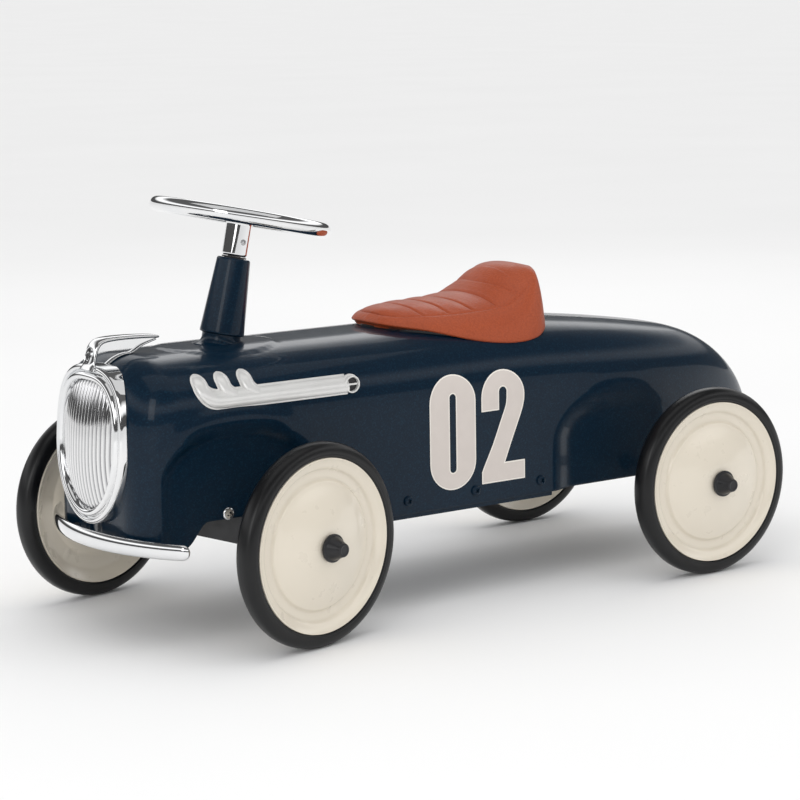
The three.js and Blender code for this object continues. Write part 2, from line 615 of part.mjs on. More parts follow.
// ---- exhaust trims ----
const PIPE = { y0: -305, y1: -145, z0: 213, z1: 228 };
const STUB_Y = [-303, -280, -257];
const STUB_TOP_Z = 240;
function trimShape() {
  const r = (PIPE.z1 - PIPE.z0) / 2;
  const shape = new THREE.Shape();
  shape.moveTo(PIPE.y1 - r, PIPE.z0);
  shape.absarc(PIPE.y1 - r, PIPE.z0 + r, r, -Math.PI / 2, Math.PI / 2);
  for (const y of [...STUB_Y].reverse().slice(0, 2)) {
    shape.lineTo(y + 12, PIPE.z1);
    shape.lineTo(y + 6, STUB_TOP_Z - 3);
    shape.lineTo(y, STUB_TOP_Z);
    shape.lineTo(y - 6, STUB_TOP_Z - 4);
    shape.lineTo(y - 3, PIPE.z1);
  }
  shape.lineTo(STUB_Y[0] + 6, STUB_TOP_Z - 3);
  shape.lineTo(STUB_Y[0], STUB_TOP_Z);
  shape.lineTo(STUB_Y[0] - 6, STUB_TOP_Z - 4);
  shape.lineTo(STUB_Y[0] - 5, PIPE.z0 + 10);
  shape.lineTo(STUB_Y[0] + 4, PIPE.z0 + 1);
  shape.lineTo(STUB_Y[0] + 12, PIPE.z0);
  shape.closePath();
  return shape;
}
// A shape drawn in (y, z), extruded across one side of the car.
function sidePrism(shape, side) {
  return solid(acrossCar(extruded(shape, 70)).translate(side > 0 ? 40 : -110, 0, 0));
}
for (const [word, side] of SIDES) {
  piece(`exhaust_trim_${word}`, geometryOf(layer(sidePrism(trimShape(), side), GAP, TRIM_T)), SATIN());
}

// ---- racing number: a nought and a two, each a thin plate on the side ----
const NOUGHT = { y: -40, w: 53, z0: 108, z1: 218, slotW: 7.4, slotH: 76 };
const TWO = { y: 19, w: 51, h: 108, z0: 109, foot: 18.5, slotW: 9.2, slotZ: 87, hook: 69.5 };
function noughtShape() {
  const oval = (w, h) => {
    const s = new THREE.Shape();
    const r = w / 2;
    s.absarc(0, h / 2 - r, r, 0, Math.PI);
    s.absarc(0, -h / 2 + r, r, Math.PI, 2 * Math.PI);
    s.closePath();
    return s;
  };
  return [oval(NOUGHT.w, NOUGHT.z1 - NOUGHT.z0), oval(NOUGHT.slotW, NOUGHT.slotH)];
}
// The slanting stroke's two edges, from its foot up, measured from the middle of the figure.
const TWO_RIGHT = [[1.8, 18.5], [9.5, 37], [17, 54], [22.5, 67], [25, 76]];
const TWO_LEFT = [[4.2, 80], [3, 73], [-2.5, 60], [-12, 38], [-21, 20.5], [-24.3, 14]];
function twoShape() {
  const { w, h, foot, slotW, slotZ, hook } = TWO;
  const r = w / 2;
  const slotX = -4.8;
  const s = new THREE.Shape();
  s.moveTo(-r, 0);
  s.lineTo(r, 0);
  s.lineTo(r, foot);
  for (const point of TWO_RIGHT) s.lineTo(...point);
  s.absarc(0, h - r, r, 0, Math.PI);
  s.lineTo(-r, hook);
  s.lineTo(slotX, hook);
  s.absarc(slotX + slotW / 2, slotZ, slotW / 2, Math.PI, 0, true);
  for (const point of TWO_LEFT) s.lineTo(...point);
  s.closePath();
  return s;
}
function digitSolid(shapes, y, z, side) {
  // read from outside, so the right side's figures run the other way along the car
  const place = (shape) => {
    const basis = new THREE.Matrix4().makeBasis(axis(0, side, 0), axis(0, 0, 1), axis(side, 0, 0));
    const prism = extruded(shape, 70).applyMatrix4(basis);
    return solid(prism.translate(side * 40, y, z));
  };
  const [outer, ...holes] = shapes.map(place);
  const flat = holes.reduce((m, hole) => m.subtract(hole), outer);
  return layer(flat, GAP, GAP + DIGIT_T);
}
const NUMBER_MIDDLE_Y = (NOUGHT.y + TWO.y) / 2;
for (const [word, side] of SIDES) {
  const y = (of) => NUMBER_MIDDLE_Y + side * (of - NUMBER_MIDDLE_Y);
  const zMid = (NOUGHT.z0 + NOUGHT.z1) / 2;
  piece(`digit_0_${word}`, geometryOf(digitSolid(noughtShape(), y(NOUGHT.y), zMid, side)), BEIGE());
  piece(`digit_2_${word}`, geometryOf(digitSolid([twoShape()], y(TWO.y), TWO.z0, side)), BEIGE());
}

// the origin is on the floor, under the middle of the length
group.position.y = -(BUMPER.front + BODY_TAIL_Y - TAIL_CUT) / 2;
export default group;
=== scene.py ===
"""A foot-to-floor ride-on racing car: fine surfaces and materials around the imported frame.

Lengths below are millimetres in the car's own frame: +Z up, the car faces -Y, +X is its left.
"""

import math

import bmesh
import bpy
import numpy as np
from mathutils import Matrix, Vector


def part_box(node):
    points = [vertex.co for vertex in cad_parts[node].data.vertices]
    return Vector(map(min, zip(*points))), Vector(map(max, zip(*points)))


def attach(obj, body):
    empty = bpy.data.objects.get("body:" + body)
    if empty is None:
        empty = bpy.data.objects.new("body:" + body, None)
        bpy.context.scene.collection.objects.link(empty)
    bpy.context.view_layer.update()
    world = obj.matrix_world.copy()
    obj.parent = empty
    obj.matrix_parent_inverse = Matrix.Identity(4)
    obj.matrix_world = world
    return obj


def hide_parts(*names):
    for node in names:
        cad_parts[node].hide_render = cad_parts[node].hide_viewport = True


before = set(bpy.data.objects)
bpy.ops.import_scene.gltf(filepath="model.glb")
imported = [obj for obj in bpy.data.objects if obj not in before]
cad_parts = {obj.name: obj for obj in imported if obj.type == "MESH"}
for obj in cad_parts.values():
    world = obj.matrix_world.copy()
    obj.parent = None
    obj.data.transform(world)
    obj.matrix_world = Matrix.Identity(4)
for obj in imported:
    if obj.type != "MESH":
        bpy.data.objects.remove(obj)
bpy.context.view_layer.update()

MM = 1000.0


def box_mm(node):
    lo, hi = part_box(node)
    return Vector(lo) * MM, Vector(hi) * MM


def middle_mm(node):
    lo, hi = box_mm(node)
    return (lo + hi) / 2


# ---- sizes, from the frame ----
SHELL_LO, SHELL_HI = box_mm("body_shell")
HALF_W = SHELL_HI.x
FRONT_Y = SHELL_LO.y
TAIL_Y = SHELL_HI.y + 1.0
EDGE_Z = SHELL_LO.z
HOOD_Z = SHELL_HI.z
Y0 = FRONT_Y + 371.0  # moves the drawing's Y to the frame's
SIDE_Z = EDGE_Z + 95.0
CORNER = 40.0
TAIL_FROM_Y = Y0 + 92.0
TAIL_DROP_Y = Y0 + 262.0
WALL_X = HALF_W - 8.0  # wall inside a wheel arch
SHEET = 1.5


def smooth(a, b, x):
    t = min(max((x - a) / (b - a), 0.0), 1.0)
    return t * t * (3 - 2 * t)


def mix(a, b, t):
    return a + (b - a) * t


def rounded(depth, r):
    d = min(max(depth, 0.0), r)
    return r - math.sqrt(r * r - (r - d) ** 2)


def half_width(y):
    t = min(max((y - TAIL_FROM_Y) / (TAIL_Y - TAIL_FROM_Y), 0.0), 1.0)
    return (HALF_W - rounded(y - FRONT_Y, CORNER)) * (1 - t ** 2.3) ** 0.62


def crown_z(y):
    front = rounded(y - FRONT_Y, CORNER)
    fall = 0.0003 * max(y - Y0 + 20, 0.0) ** 2
    t = min(max((y - TAIL_DROP_Y) / (TAIL_Y - TAIL_DROP_Y), 0.0), 1.0)
    return EDGE_Z + (HOOD_Z - EDGE_Z - front - fall) * math.sqrt(max(1 - t ** 2.2, 0.0))


def section(y):
    w = max(half_width(y), 2.0)
    top = max(crown_z(y), EDGE_Z + 10)
    return w, top, min(SIDE_Z, EDGE_Z + (top - EDGE_Z) * 0.58)


def skin_x(y, z):
    """Half width of the plain shell at a height."""
    w, top, zs = section(y)
    if z <= zs:
        return w
    q = min((z - zs) / (top - zs), 1.0)
    return w * (1 - q ** 3) ** (1 / 3)


def skin_z(x, y):
    """Height of the plain shell's top at a place."""
    w, top, zs = section(y)
    q = min(abs(x) / w, 1.0)
    return zs + (top - zs) * (1 - q ** 3) ** (1 / 3)


# ---- mesh helpers ----
def grid_faces(rows, cols, close_rows=False, close_cols=False):
    faces = []
    for i in range(rows if close_rows else rows - 1):
        for j in range(cols if close_cols else cols - 1):
            a, b = i * cols + j, i * cols + (j + 1) % cols
            c, d = ((i + 1) % rows) * cols + (j + 1) % cols, ((i + 1) % rows) * cols + j
            faces.append((a, b, c, d))
    return faces


def mesh_object(name, verts, faces, crease=40.0):
    me = bpy.data.meshes.new(name)
    me.from_pydata([Vector(v) / MM for v in verts], [], faces)
    bm = bmesh.new()
    bm.from_mesh(me)
    bmesh.ops.remove_doubles(bm, verts=bm.verts, dist=2e-6)
    bmesh.ops.dissolve_degenerate(bm, edges=bm.edges, dist=1e-7)
    bmesh.ops.recalc_face_normals(bm, faces=bm.faces)
    bm.to_mesh(me)
    bm.free()
    me.shade_smooth()
    me.set_sharp_from_angle(angle=math.radians(crease))
    obj = bpy.data.objects.new(name, me)
    bpy.context.scene.collection.objects.link(obj)
    return obj


def merged(parts):
    """Several (verts, faces) as one."""
    verts, faces = [], []
    for v, f in parts:
        k = len(verts)
        verts += [Vector(p) for p in v]
        faces += [tuple(i + k for i in face) for face in f]
    return verts, faces


def placed(part, matrix):
    return [matrix @ Vector(v) for v in part[0]], part[1]


def lathe(profile, sides=96, closed=False):
    """Pairs of radius and height turned about +Z."""
    verts = []
    for r, z in profile:
        for k in range(sides):
            a = 2 * math.pi * k / sides
            verts.append((r * math.cos(a), r * math.sin(a), z))
    return verts, grid_faces(len(profile), sides, closed, True)


def rounded_profile(points, r, steps=3):
    """The same open outline with each corner turned into a small arc."""
    n = len(points)
    out = []
    for i, p in enumerate(points):
        p = Vector(p)
        if i in (0, n - 1):
            out.append(tuple(p))
            continue
        a, b = Vector(points[i - 1]) - p, Vector(points[i + 1]) - p
        if a.length < 1e-6 or b.length < 1e-6:
            out.append(tuple(p))
            continue
        reach = min(r, a.length * 0.45, b.length * 0.45)
        s, e = p + a.normalized() * reach, p + b.normalized() * reach
        for k in range(steps + 1):
            t = k / steps
            out.append(tuple(s * (1 - t) ** 2 + p * 2 * t * (1 - t) + e * t * t))
    return out


def sweep(sections):
    """Joins sections, each a closed ring of points already in place, and caps both ends."""
    n = len(sections[0])
    verts = [p for s in sections for p in s]
    faces = grid_faces(len(sections), n, False, True)
    faces += [tuple(range(n)), tuple((len(sections) - 1) * n + i for i in range(n))]
    return verts, faces


def curve_through(points, steps):
    """A smooth curve through points (Catmull-Rom), as steps per span."""
    p = [Vector(q) for q in points]
    p = [p[0] * 2 - p[1]] + p + [p[-1] * 2 - p[-2]]
    out = []
    for i in range(1, len(p) - 2):
        for k in range(steps):
            t = k / steps
            a, b, c, d = p[i - 1], p[i], p[i + 1], p[i + 2]
            out.append(0.5 * ((2 * b) + (c - a) * t + (2 * a - 5 * b + 4 * c - d) * t * t
                              + (3 * b - a - 3 * c + d) * t ** 3))
    out.append(p[-2])
    return out


def boolean(target, cutter, operation):
    """Applies one boolean and removes the cutter."""
    mod = target.modifiers.new("cut", "BOOLEAN")
    mod.operation = operation
    mod.solver = "EXACT"
    mod.object = cutter
    dg = bpy.context.evaluated_depsgraph_get()
    me = bpy.data.meshes.new_from_object(target.evaluated_get(dg))
    target.modifiers.clear()
    old = target.data
    target.data = me
    bpy.data.meshes.remove(old)
    bpy.data.objects.remove(cutter)
    me.shade_smooth()
    me.set_sharp_from_angle(angle=math.radians(30))
    return target


# ---- materials ----
class Look:
    """A Principled material built from a few node calls."""

    def __init__(self, name):
        self.mat = bpy.data.materials.new(name)
        self.mat.use_nodes = True
        self.tree = self.mat.node_tree
        self.bsdf = self.tree.nodes["Principled BSDF"]
        self.coord = self.add("ShaderNodeTexCoord").outputs["Object"]

    def add(self, kind, **values):
        node = self.tree.nodes.new(kind)
        for key, value in values.items():
            if key in node.inputs:
                node.inputs[key].default_value = value
            else:
                setattr(node, key, value)
        return node

    def link(self, a, b):
        self.tree.links.new(a, b)
        return self

    def fixed(self, **values):
        for key, value in values.items():
            self.bsdf.inputs[key.replace("_", " ")].default_value = value
        return self

    def noise(self, scale, detail=3.0, stretch=None):
        node = self.add("ShaderNodeTexNoise", Scale=scale, Detail=detail, Roughness=0.55)
        self.link(self.space(stretch), node.inputs["Vector"])
        return node.outputs["Fac"]

    def space(self, stretch=None):
        if stretch is None:
            return self.coord
        mapping = self.add("ShaderNodeMapping")
        mapping.inputs["Scale"].default_value = stretch
        self.link(self.coord, mapping.inputs["Vector"])
        return mapping.outputs["Vector"]

    def cells(self, scale, feature="F1", output="Distance"):
        node = self.add("ShaderNodeTexVoronoi", feature=feature, Scale=scale)
        self.link(self.coord, node.inputs["Vector"])
        return node.outputs[output]

    def ramp(self, source, *stops):
        node = self.add("ShaderNodeValToRGB")
        band = node.color_ramp
        while len(band.elements) < len(stops):
            band.elements.new(0.5)
        for element, (position, colour) in zip(band.elements, stops):
            element.position = position
            element.color = (*colour, 1) if hasattr(colour, "__len__") else (colour, colour, colour, 1)
        self.link(source, node.inputs["Fac"])
        return node.outputs["Color"]

    def math(self, operation, a, b):
        node = self.add("ShaderNodeMath", operation=operation)
        for socket, value in zip(node.inputs, (a, b)):
            if isinstance(value, (int, float)):
                socket.default_value = value
            else:
                self.link(value, socket)
        return node.outputs[0]

    def blend(self, factor, a, b):
        node = self.add("ShaderNodeMix", data_type="RGBA")
        for socket, value in ((node.inputs[0], factor), (node.inputs[6], a), (node.inputs[7], b)):
            if isinstance(value, tuple):
                socket.default_value = (*value, 1)
            elif isinstance(value, float):
                socket.default_value = value
            else:
                self.link(value, socket)
        return node.outputs[2]

    def colour(self, source):
        return self.link(source, self.bsdf.inputs["Base Color"])

    def rough(self, source):
        return self.link(source, self.bsdf.inputs["Roughness"])

    def bump(self, height, strength, distance, coat=False):
        node = self.add("ShaderNodeBump", Strength=strength, Distance=distance / MM)
        self.link(height, node.inputs["Height"])
        self.link(node.outputs["Normal"], self.bsdf.inputs["Normal"])
        if coat:
            self.link(node.outputs["Normal"], self.bsdf.inputs["Coat Normal"])
        return self


def navy_paint():
    m = Look("navy_paint")
    fleck = m.ramp(m.cells(900.0, output="Color"), (0.0, 0.0), (0.55, 0.1), (0.95, 1.0))
    base = m.blend(m.noise(9.0), (0.0004, 0.0082, 0.0200), (0.0007, 0.0105, 0.0255))
    m.colour(m.blend(m.math("MULTIPLY", fleck, 0.3), base, (0.008, 0.045, 0.08)))
    m.rough(m.ramp(m.noise(40.0, 4.0), (0.3, 0.36), (0.7, 0.42)))
    m.fixed(Specular_IOR_Level=0.1, Coat_Weight=0.7, Coat_Roughness=0.07, Coat_IOR=1.28)
    m.bump(m.noise(260.0, 2.0), 0.08, 0.2, coat=True)
    return m.mat


def chrome():
    m = Look("chrome")
    m.colour(m.ramp(m.noise(25.0), (0.3, (0.80, 0.81, 0.82)), (0.7, (0.88, 0.88, 0.88))))
    m.rough(m.ramp(m.noise(90.0, 4.0), (0.35, 0.035), (0.75, 0.077)))
    m.fixed(Metallic=1.0)
    m.bump(m.noise(35.0, 2.0), 0.06, 0.3)
    return m.mat


RIB_PITCH = 5.6


def ribbed_chrome():
    """Chrome with painted shade, and some dirt, lying in the grooves between the grille's upright ribs."""
    m = Look("ribbed_chrome")
    split = m.add("ShaderNodeSeparateXYZ")
    m.link(m.coord, split.inputs[0])
    # painted shade: this wave follows the rib pitch so the colour darkens in every groove between the ribs
    turn = m.math("MULTIPLY", split.outputs["X"], math.pi * MM / RIB_PITCH)
    groove_shade_wave = m.math("ABSOLUTE", m.math("COSINE", turn, 0.0), 0.0)
    # the ramp paints the groove shade: dark where the wave is low, bright on the rib crests
    tone = m.ramp(groove_shade_wave, (0.12, (0.20, 0.20, 0.21)), (0.55, (0.66, 0.66, 0.67)), (0.9, (0.88, 0.88, 0.88)))
    m.colour(m.blend(m.math("MULTIPLY", m.noise(60.0), 0.2), tone, (0.6, 0.6, 0.61)))
    m.rough(m.ramp(m.noise(90.0, 4.0), (0.35, 0.08), (0.75, 0.15)))
    m.fixed(Metallic=1.0)
    m.bump(m.noise(120.0, 2.0), 0.04, 0.2)
    return m.mat


def satin_trim():
    m = Look("satin_trim")
    m.colour(m.ramp(m.noise(60.0), (0.3, (0.74, 0.735, 0.72)), (0.7, (0.80, 0.795, 0.78))))
    m.rough(m.ramp(m.noise(240.0, 4.0, stretch=(1.0, 0.15, 1.0)), (0.3, 0.34), (0.7, 0.42)))
    m.fixed(Metallic=0.45, Coat_Weight=0.3, Coat_Roughness=0.15)
    m.bump(m.noise(700.0, 2.0), 0.03, 0.1)
    return m.mat


def cream_paint():
    m = Look("cream_paint")
    m.colour(m.blend(m.noise(14.0), (0.735, 0.67, 0.56), (0.755, 0.69, 0.58)))
    m.rough(m.ramp(m.noise(50.0, 4.0), (0.3, 0.26), (0.7, 0.34)))
    m.fixed(Coat_Weight=0.7, Coat_Roughness=0.07)
    m.bump(m.noise(320.0, 2.0), 0.03, 0.2)
    return m.mat


def tyre_rubber():
    m = Look("tyre_rubber")
    dust = m.noise(30.0, 5.0)
    m.colour(m.ramp(dust, (0.3, (0.0034, 0.0036, 0.0042)), (0.75, (0.0052, 0.0054, 0.0062))))
    m.rough(m.ramp(m.noise(60.0, 4.0), (0.3, 0.30), (0.7, 0.36)))
    m.fixed(Specular_IOR_Level=0.38)
    m.bump(m.noise(900.0, 3.0), 0.22, 0.2)
    return m.mat


def black_plastic():
    m = Look("black_plastic")
    m.colour(m.ramp(m.noise(30.0), (0.3, (0.010, 0.010, 0.012)), (0.7, (0.018, 0.018, 0.020))))
    m.rough(m.ramp(m.noise(120.0, 4.0), (0.3, 0.26), (0.7, 0.36)))
    m.fixed(Specular_IOR_Level=0.4)
    m.bump(m.cells(1500.0), 0.15, 0.12)
    return m.mat


def black_paint():
    m = Look("black_paint")
    m.colour(m.ramp(m.noise(24.0), (0.3, (0.011, 0.012, 0.014)), (0.7, (0.020, 0.021, 0.024))))
    m.rough(m.ramp(m.noise(80.0, 4.0), (0.3, 0.36), (0.7, 0.5)))
    m.bump(m.noise(420.0, 3.0), 0.2, 0.2)
    return m.mat


def bright_steel():
    m = Look("bright_steel")
    lines = m.noise(300.0, 3.0, stretch=(0.12, 1.0, 1.0))
    m.colour(m.ramp(m.noise(40.0), (0.3, (0.42, 0.42, 0.43)), (0.7, (0.55, 0.55, 0.55))))
    m.rough(m.ramp(lines, (0.3, 0.24), (0.7, 0.42)))
    m.fixed(Metallic=1.0)
    m.bump(lines, 0.2, 0.1)
    return m.mat


def bronze():
    m = Look("bronze")
    m.colour(m.ramp(m.noise(60.0), (0.3, (0.30, 0.17, 0.055)), (0.7, (0.40, 0.24, 0.09))))
    m.rough(m.ramp(m.noise(120.0), (0.3, 0.35), (0.7, 0.55)))
    m.fixed(Metallic=0.95)
    m.bump(m.noise(500.0), 0.15, 0.1)
    return m.mat


def seat_leather():
    m = Look("seat_leather")
    pebble = m.cells(620.0, feature="SMOOTH_F1")
    tone = m.blend(m.noise(22.0, 4.0), (0.34, 0.058, 0.016), (0.42, 0.080, 0.024))
    pores = m.ramp(pebble, (0.1, 0.0), (0.65, 1.0))
    m.colour(m.blend(m.math("MULTIPLY", pores, 0.35), tone, (0.20, 0.032, 0.009)))
    m.rough(m.ramp(m.noise(70.0, 4.0), (0.3, 0.38), (0.7, 0.48)))
    m.fixed(Specular_IOR_Level=0.35, Sheen_Weight=0.03, Sheen_Roughness=0.4)
    height = m.math("SUBTRACT", m.math("MULTIPLY", m.noise(1500.0, 3.0), 0.4), pebble)
    m.bump(height, 0.6, 0.45)
    return m.mat


def number_print(name, colour, dark):
    m = Look(name)
    m.colour(m.blend(m.noise(80.0, 4.0), colour, dark))
    m.rough(m.ramp(m.noise(160.0, 3.0), (0.3, 0.42), (0.7, 0.55)))
    m.bump(m.noise(800.0, 2.0), 0.08, 0.1)
    return m.mat


def pale_floor():
    m = Look("pale_floor")
    m.colour(m.ramp(m.noise(1.5), (0.3, 0.86), (0.7, 0.875)))
    m.fixed(Roughness=0.9, Specular_IOR_Level=0.0)
    return m.mat


LOOKS = {
    "navy_paint": navy_paint(),
    "chrome": chrome(),
    "ribbed_chrome": ribbed_chrome(),
    "satin_trim": satin_trim(),
    "cream_paint": cream_paint(),
    "tyre_rubber": tyre_rubber(),
    "black_plastic": black_plastic(),
    "black_paint": black_paint(),
    "bright_steel": bright_steel(),
    "bronze": bronze(),
    "seat_leather": seat_leather(),
    "number_print": number_print("number_print", (0.66, 0.60, 0.56), (0.60, 0.545, 0.505)),
    "number_edge": number_print("number_edge", (0.86, 0.82, 0.76), (0.80, 0.76, 0.70)),
}


def finish_piece(obj, body, slot, stands_for=(), look=None):
    obj.data.materials.clear()
    obj.data.materials.append(LOOKS[look or slot])
    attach(obj, body)
    if stands_for:
        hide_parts(*stands_for)
    return obj


# ---- body shell ----
# Each pressed wheel arch: middle, half length, top, the height where its sides start to close,
# how far inside its outline the pressing reaches full depth, and how far its lip stands out.
ARCHES = [(Y0 - 276.0, 74.0, 194.0, 150.0, 8.0, 1.2), (Y0 + 160.0, 74.0, 182.0, 138.0, 24.0, 0.3)]
PAD = {"y": Y0 - 243.0, "half_x": 50.0, "half_y": 58.0, "rise": 1.1}


def arch_distance(arch, y, z):
    """How far a point of the side lies outside an arch's outline, below zero inside it."""
    mid, half, top, turn = arch[:4]
    dy = abs(y - mid)
    if z <= turn:
        return dy - half
    dz, rise = z - turn, top - turn
    q = math.hypot(dy / half, dz / rise)
    return (q - 1) * math.hypot(dy, dz) / max(q, 1e-6) if q > 1e-6 else -half


def lower_edge(y):
    v = y - Y0
    over_axle = 21.0 * smooth(-326, -302, v) * (1 - smooth(-218, -204, v))
    notch = 8.0 * smooth(219, 222, v) * (1 - smooth(232, 235, v))
    return EDGE_Z + over_axle + notch


def pressed(x, y, z):
    """A point of the plain shell, pushed by the arches and by the pad under the column."""
    side = math.copysign(1.0, x)
    ax = abs(x)
    for arch in ARCHES:
        d = arch_distance(arch, y, z)
        inside = 1 - smooth(-arch[4], 1.0 + 0.2 * arch[4], d)
        ax -= inside * max(ax - WALL_X, 0.0)
        lip = smooth(0.0, 7.0, d) * (1 - smooth(13.0, 25.0, d))
        ax += arch[5] * lip * smooth(40, 70, ax) * (1 - smooth(225, 240, z))
    if z > HOOD_Z - 30:
        q = math.hypot(x / PAD["half_x"], (y - PAD["y"]) / PAD["half_y"])
        z += PAD["rise"] * (1 - smooth(0.94, 1.02, q)) - 0.5 * math.exp(-((q - 1.03) / 0.022) ** 2)
    return (side * ax if abs(x) > 1e-6 else 0.0, y, z)


def shrunk(ring, y, share):
    """A ring of the shell drawn in towards the middle of the lower edge, to close an end."""
    return [(p[0] * share, y, EDGE_Z + (p[2] - EDGE_Z) * share) for p in ring]


def shell():
    wall_steps, over_steps = 36, 30
    front_steps = 14
    ys = [FRONT_Y + CORNER * (1 - math.cos(i / front_steps * math.pi / 2)) for i in range(front_steps)]
    ys += list(np.arange(FRONT_Y + CORNER, TAIL_Y - 40, 2.6))
    ys += [TAIL_Y - 1.0 - 39.0 * (1 - math.sin(i / 22 * math.pi / 2)) for i in range(23)]
    rows = []
    for y in ys:
        w, top, zs = section(y)
        low = lower_edge(y)
        half = [(w, mix(low, zs, (i / wall_steps))) for i in range(wall_steps)]
        for i in range(over_steps + 1):
            a = i / over_steps * math.pi / 2
            half.append((w * max(math.cos(a), 0) ** (2 / 3), zs + (top - zs) * math.sin(a) ** (2 / 3)))
        half[-1] = (0.0, top)
        ring = half + [(-x, z) for x, z in reversed(half[:-1])]
        rows.append([pressed(x, y, z) for x, z in ring])
    first = rows[0]
    last = rows[-1]
    lids = [shrunk(first, FRONT_Y, s) for s in (0.02, 0.25, 0.5, 0.75, 0.92)]
    tail = [shrunk(last, ys[-1], s) for s in (0.6, 0.02)]
    rings = lids + rows + tail
    verts = [p for ring in rings for p in ring]
    obj = mesh_object("shell_skin", verts, grid_faces(len(rings), len(rings[0])), crease=60)
    sheet = obj.modifiers.new("sheet", "SOLIDIFY")
    sheet.thickness = SHEET / MM
    sheet.offset = -1
    return finish_piece(obj, "chassis", "navy_paint", ["body_shell"])


shell()

# ---- wheels ----
STEER = math.atan2(middle_mm("front_left_tyre").y - middle_mm("front_right_tyre").y,
                   middle_mm("front_left_tyre").x - middle_mm("front_right_tyre").x)
TO_X = Matrix.Rotation(math.pi / 2, 4, "Y")  # a turned piece's axis, from +Z to +X


def wheel_place(name, outward):
    """The wheel's middle, with local +Z along the axle and away from the car where outward is 1."""
    steer = STEER if name.startswith("front") else 0.0
    side = 1 if "left" in name else -1
    turn = Matrix.Rotation(steer, 4, "Z") @ Matrix.Rotation(0 if side * outward > 0 else math.pi, 4, "Z")
    return Matrix.Translation(middle_mm(f"{name}_tyre")) @ turn @ TO_X


DISC_OUTER = [
    (9.0, 16.6), (12.5, 16.6), (14.0, 16.2), (20, 15.5), (30, 13.2), (42, 10.2), (50, 7.5), (55, 5.7),
    (57.4, 5.0), (58.9, 3.2), (60.3, 2.2), (63, 2.0), (66, 2.1), (67.8, 2.8), (69.0, 4.9), (71, 6.2),
    (74, 7.4), (76.2, 8.7), (77.3, 9.6), (78.0, 10.1), (78.7, 9.9), (78.9, 9.2),
]
DISC_INNER = [
    (9.0, 10.3), (12.5, 10.3), (14.0, 10.1), (20, 9.6), (42, 6.4), (50, 4.2), (53.5, 2.2), (55.5, 1.9),
    (60, 2.0), (66, 2.5), (68.5, 3.6), (71, 5.0), (74, 7.0), (76.2, 8.6), (77.3, 9.5), (78.0, 9.9),
    (78.7, 9.7), (78.9, 9.1),
]
RIB = {"count": 6, "from": 55.5, "to": 68.0, "half": 1.5, "rise": 1.1}


def disc_mesh(profile, rib_at=None):
    face = curve_through([(r, z, 0) for r, z in profile], 2)
    face = [(p.x, p.y) for p in face]
    back = [(r, z - 1.2) for r, z in reversed(face)]
    loop = face + back
    sides = 144
    verts = []
    for r, z in loop:
        for k in range(sides):
            a = 2 * math.pi * k / sides
            lift = 0.0
            if rib_at is not None:
                span = 2 * math.pi / RIB["count"]
                off = (a - rib_at + span / 2) % span - span / 2
                across = abs(off) * r
                starts = smooth(RIB["from"] - 1, RIB["from"] + 2, r)
                along = starts * (1 - smooth(RIB["to"] - 2, RIB["to"] + 1, r))
                lift = RIB["rise"] * along * (1 - smooth(RIB["half"] * 0.5, RIB["half"] * 1.6, across))
            verts.append((r * math.cos(a), r * math.sin(a), z + lift))
    return verts, grid_faces(len(loop), sides, True, True)


TYRE = [
    (78.9, 0), (78.9, 7.4), (79.3, 9.2), (80.2, 10.1), (81.2, 10.45), (82.0, 10.25), (82.6, 10.35),
    (84.5, 10.3), (87.5, 9.5), (90.0, 7.9), (91.6, 5.6), (92.3, 3.2), (92.5, 1.2), (92.5, 0),
]


def tyre_mesh():
    half = [(p.x, p.y) for p in curve_through([(r, z, 0) for r, z in TYRE[1:]], 2)]
    other = [(r, -z) for r, z in reversed(half[:-1])]
    inner = [(75.5, -3.4), (75.5, 3.4)]
    return lathe(half + other + inner, 144, closed=True)


CAP_OUT = 17.0  # the cap's foot, outwards from the wheel's middle
CAP = rounded_profile([
    (5.4, 2.0), (12.8, 2.0), (12.8, 4.3), (11.6, 4.9), (11.2, 4.9), (10.9, 5.2), (6.6, 14.9), (6.0, 16.9),
    (4.4, 17.15), (3.6, 16.7), (0.0, 16.7),
], 0.45, 3)


def wheel(name):
    body = f"{name}_wheel"
    outer = mesh_object(f"{name}_rim_face", *placed(disc_mesh(DISC_OUTER), wheel_place(name, 1)), crease=50)
    finish_piece(outer, body, "cream_paint", [f"{name}_disc_outer"])
    inner = placed(disc_mesh(DISC_INNER, rib_at=math.radians(20)), wheel_place(name, -1))
    back = mesh_object(f"{name}_rim_back", *inner, crease=50)
    finish_piece(back, body, "cream_paint", [f"{name}_disc_inner"])
    tyre = mesh_object(f"{name}_tread", *placed(tyre_mesh(), wheel_place(name, 1)), crease=70)
    finish_piece(tyre, body, "tyre_rubber", [f"{name}_tyre"])


for wheel_name in ("front_left", "front_right", "rear_left", "rear_right"):
    wheel(wheel_name)
    end, side_word = wheel_name.split("_")
    out = Matrix.Translation(wheel_place(wheel_name, 1).to_3x3() @ Vector((0, 0, CAP_OUT)))
    turned = placed(lathe(CAP, 64), out @ wheel_place(wheel_name, 1))
    cap = mesh_object(f"{wheel_name}_hub_cap", *turned, crease=30)
    carrier = "front_carriage" if end == "front" else "chassis"
    finish_piece(cap, carrier, "black_plastic", [f"{end}_cap_{side_word}"])

# ---- steering column ----
PIVOT = Vector((0, Y0 - 262.0, 142.0))
COLUMN_BACK, COLUMN_UP = 50.6, 229.1  # from the pivot to the middle of the steering wheel
COLUMN_TILT = math.atan(COLUMN_BACK / COLUMN_UP)
COLUMN = Matrix.Translation(PIVOT) @ Matrix.Rotation(-COLUMN_TILT, 4, "X")
TURNED = COLUMN @ Matrix.Rotation(STEER, 4, "Z")
RING_AT, RING_R, TUBE_R = 234.6, 77.3, 6.9

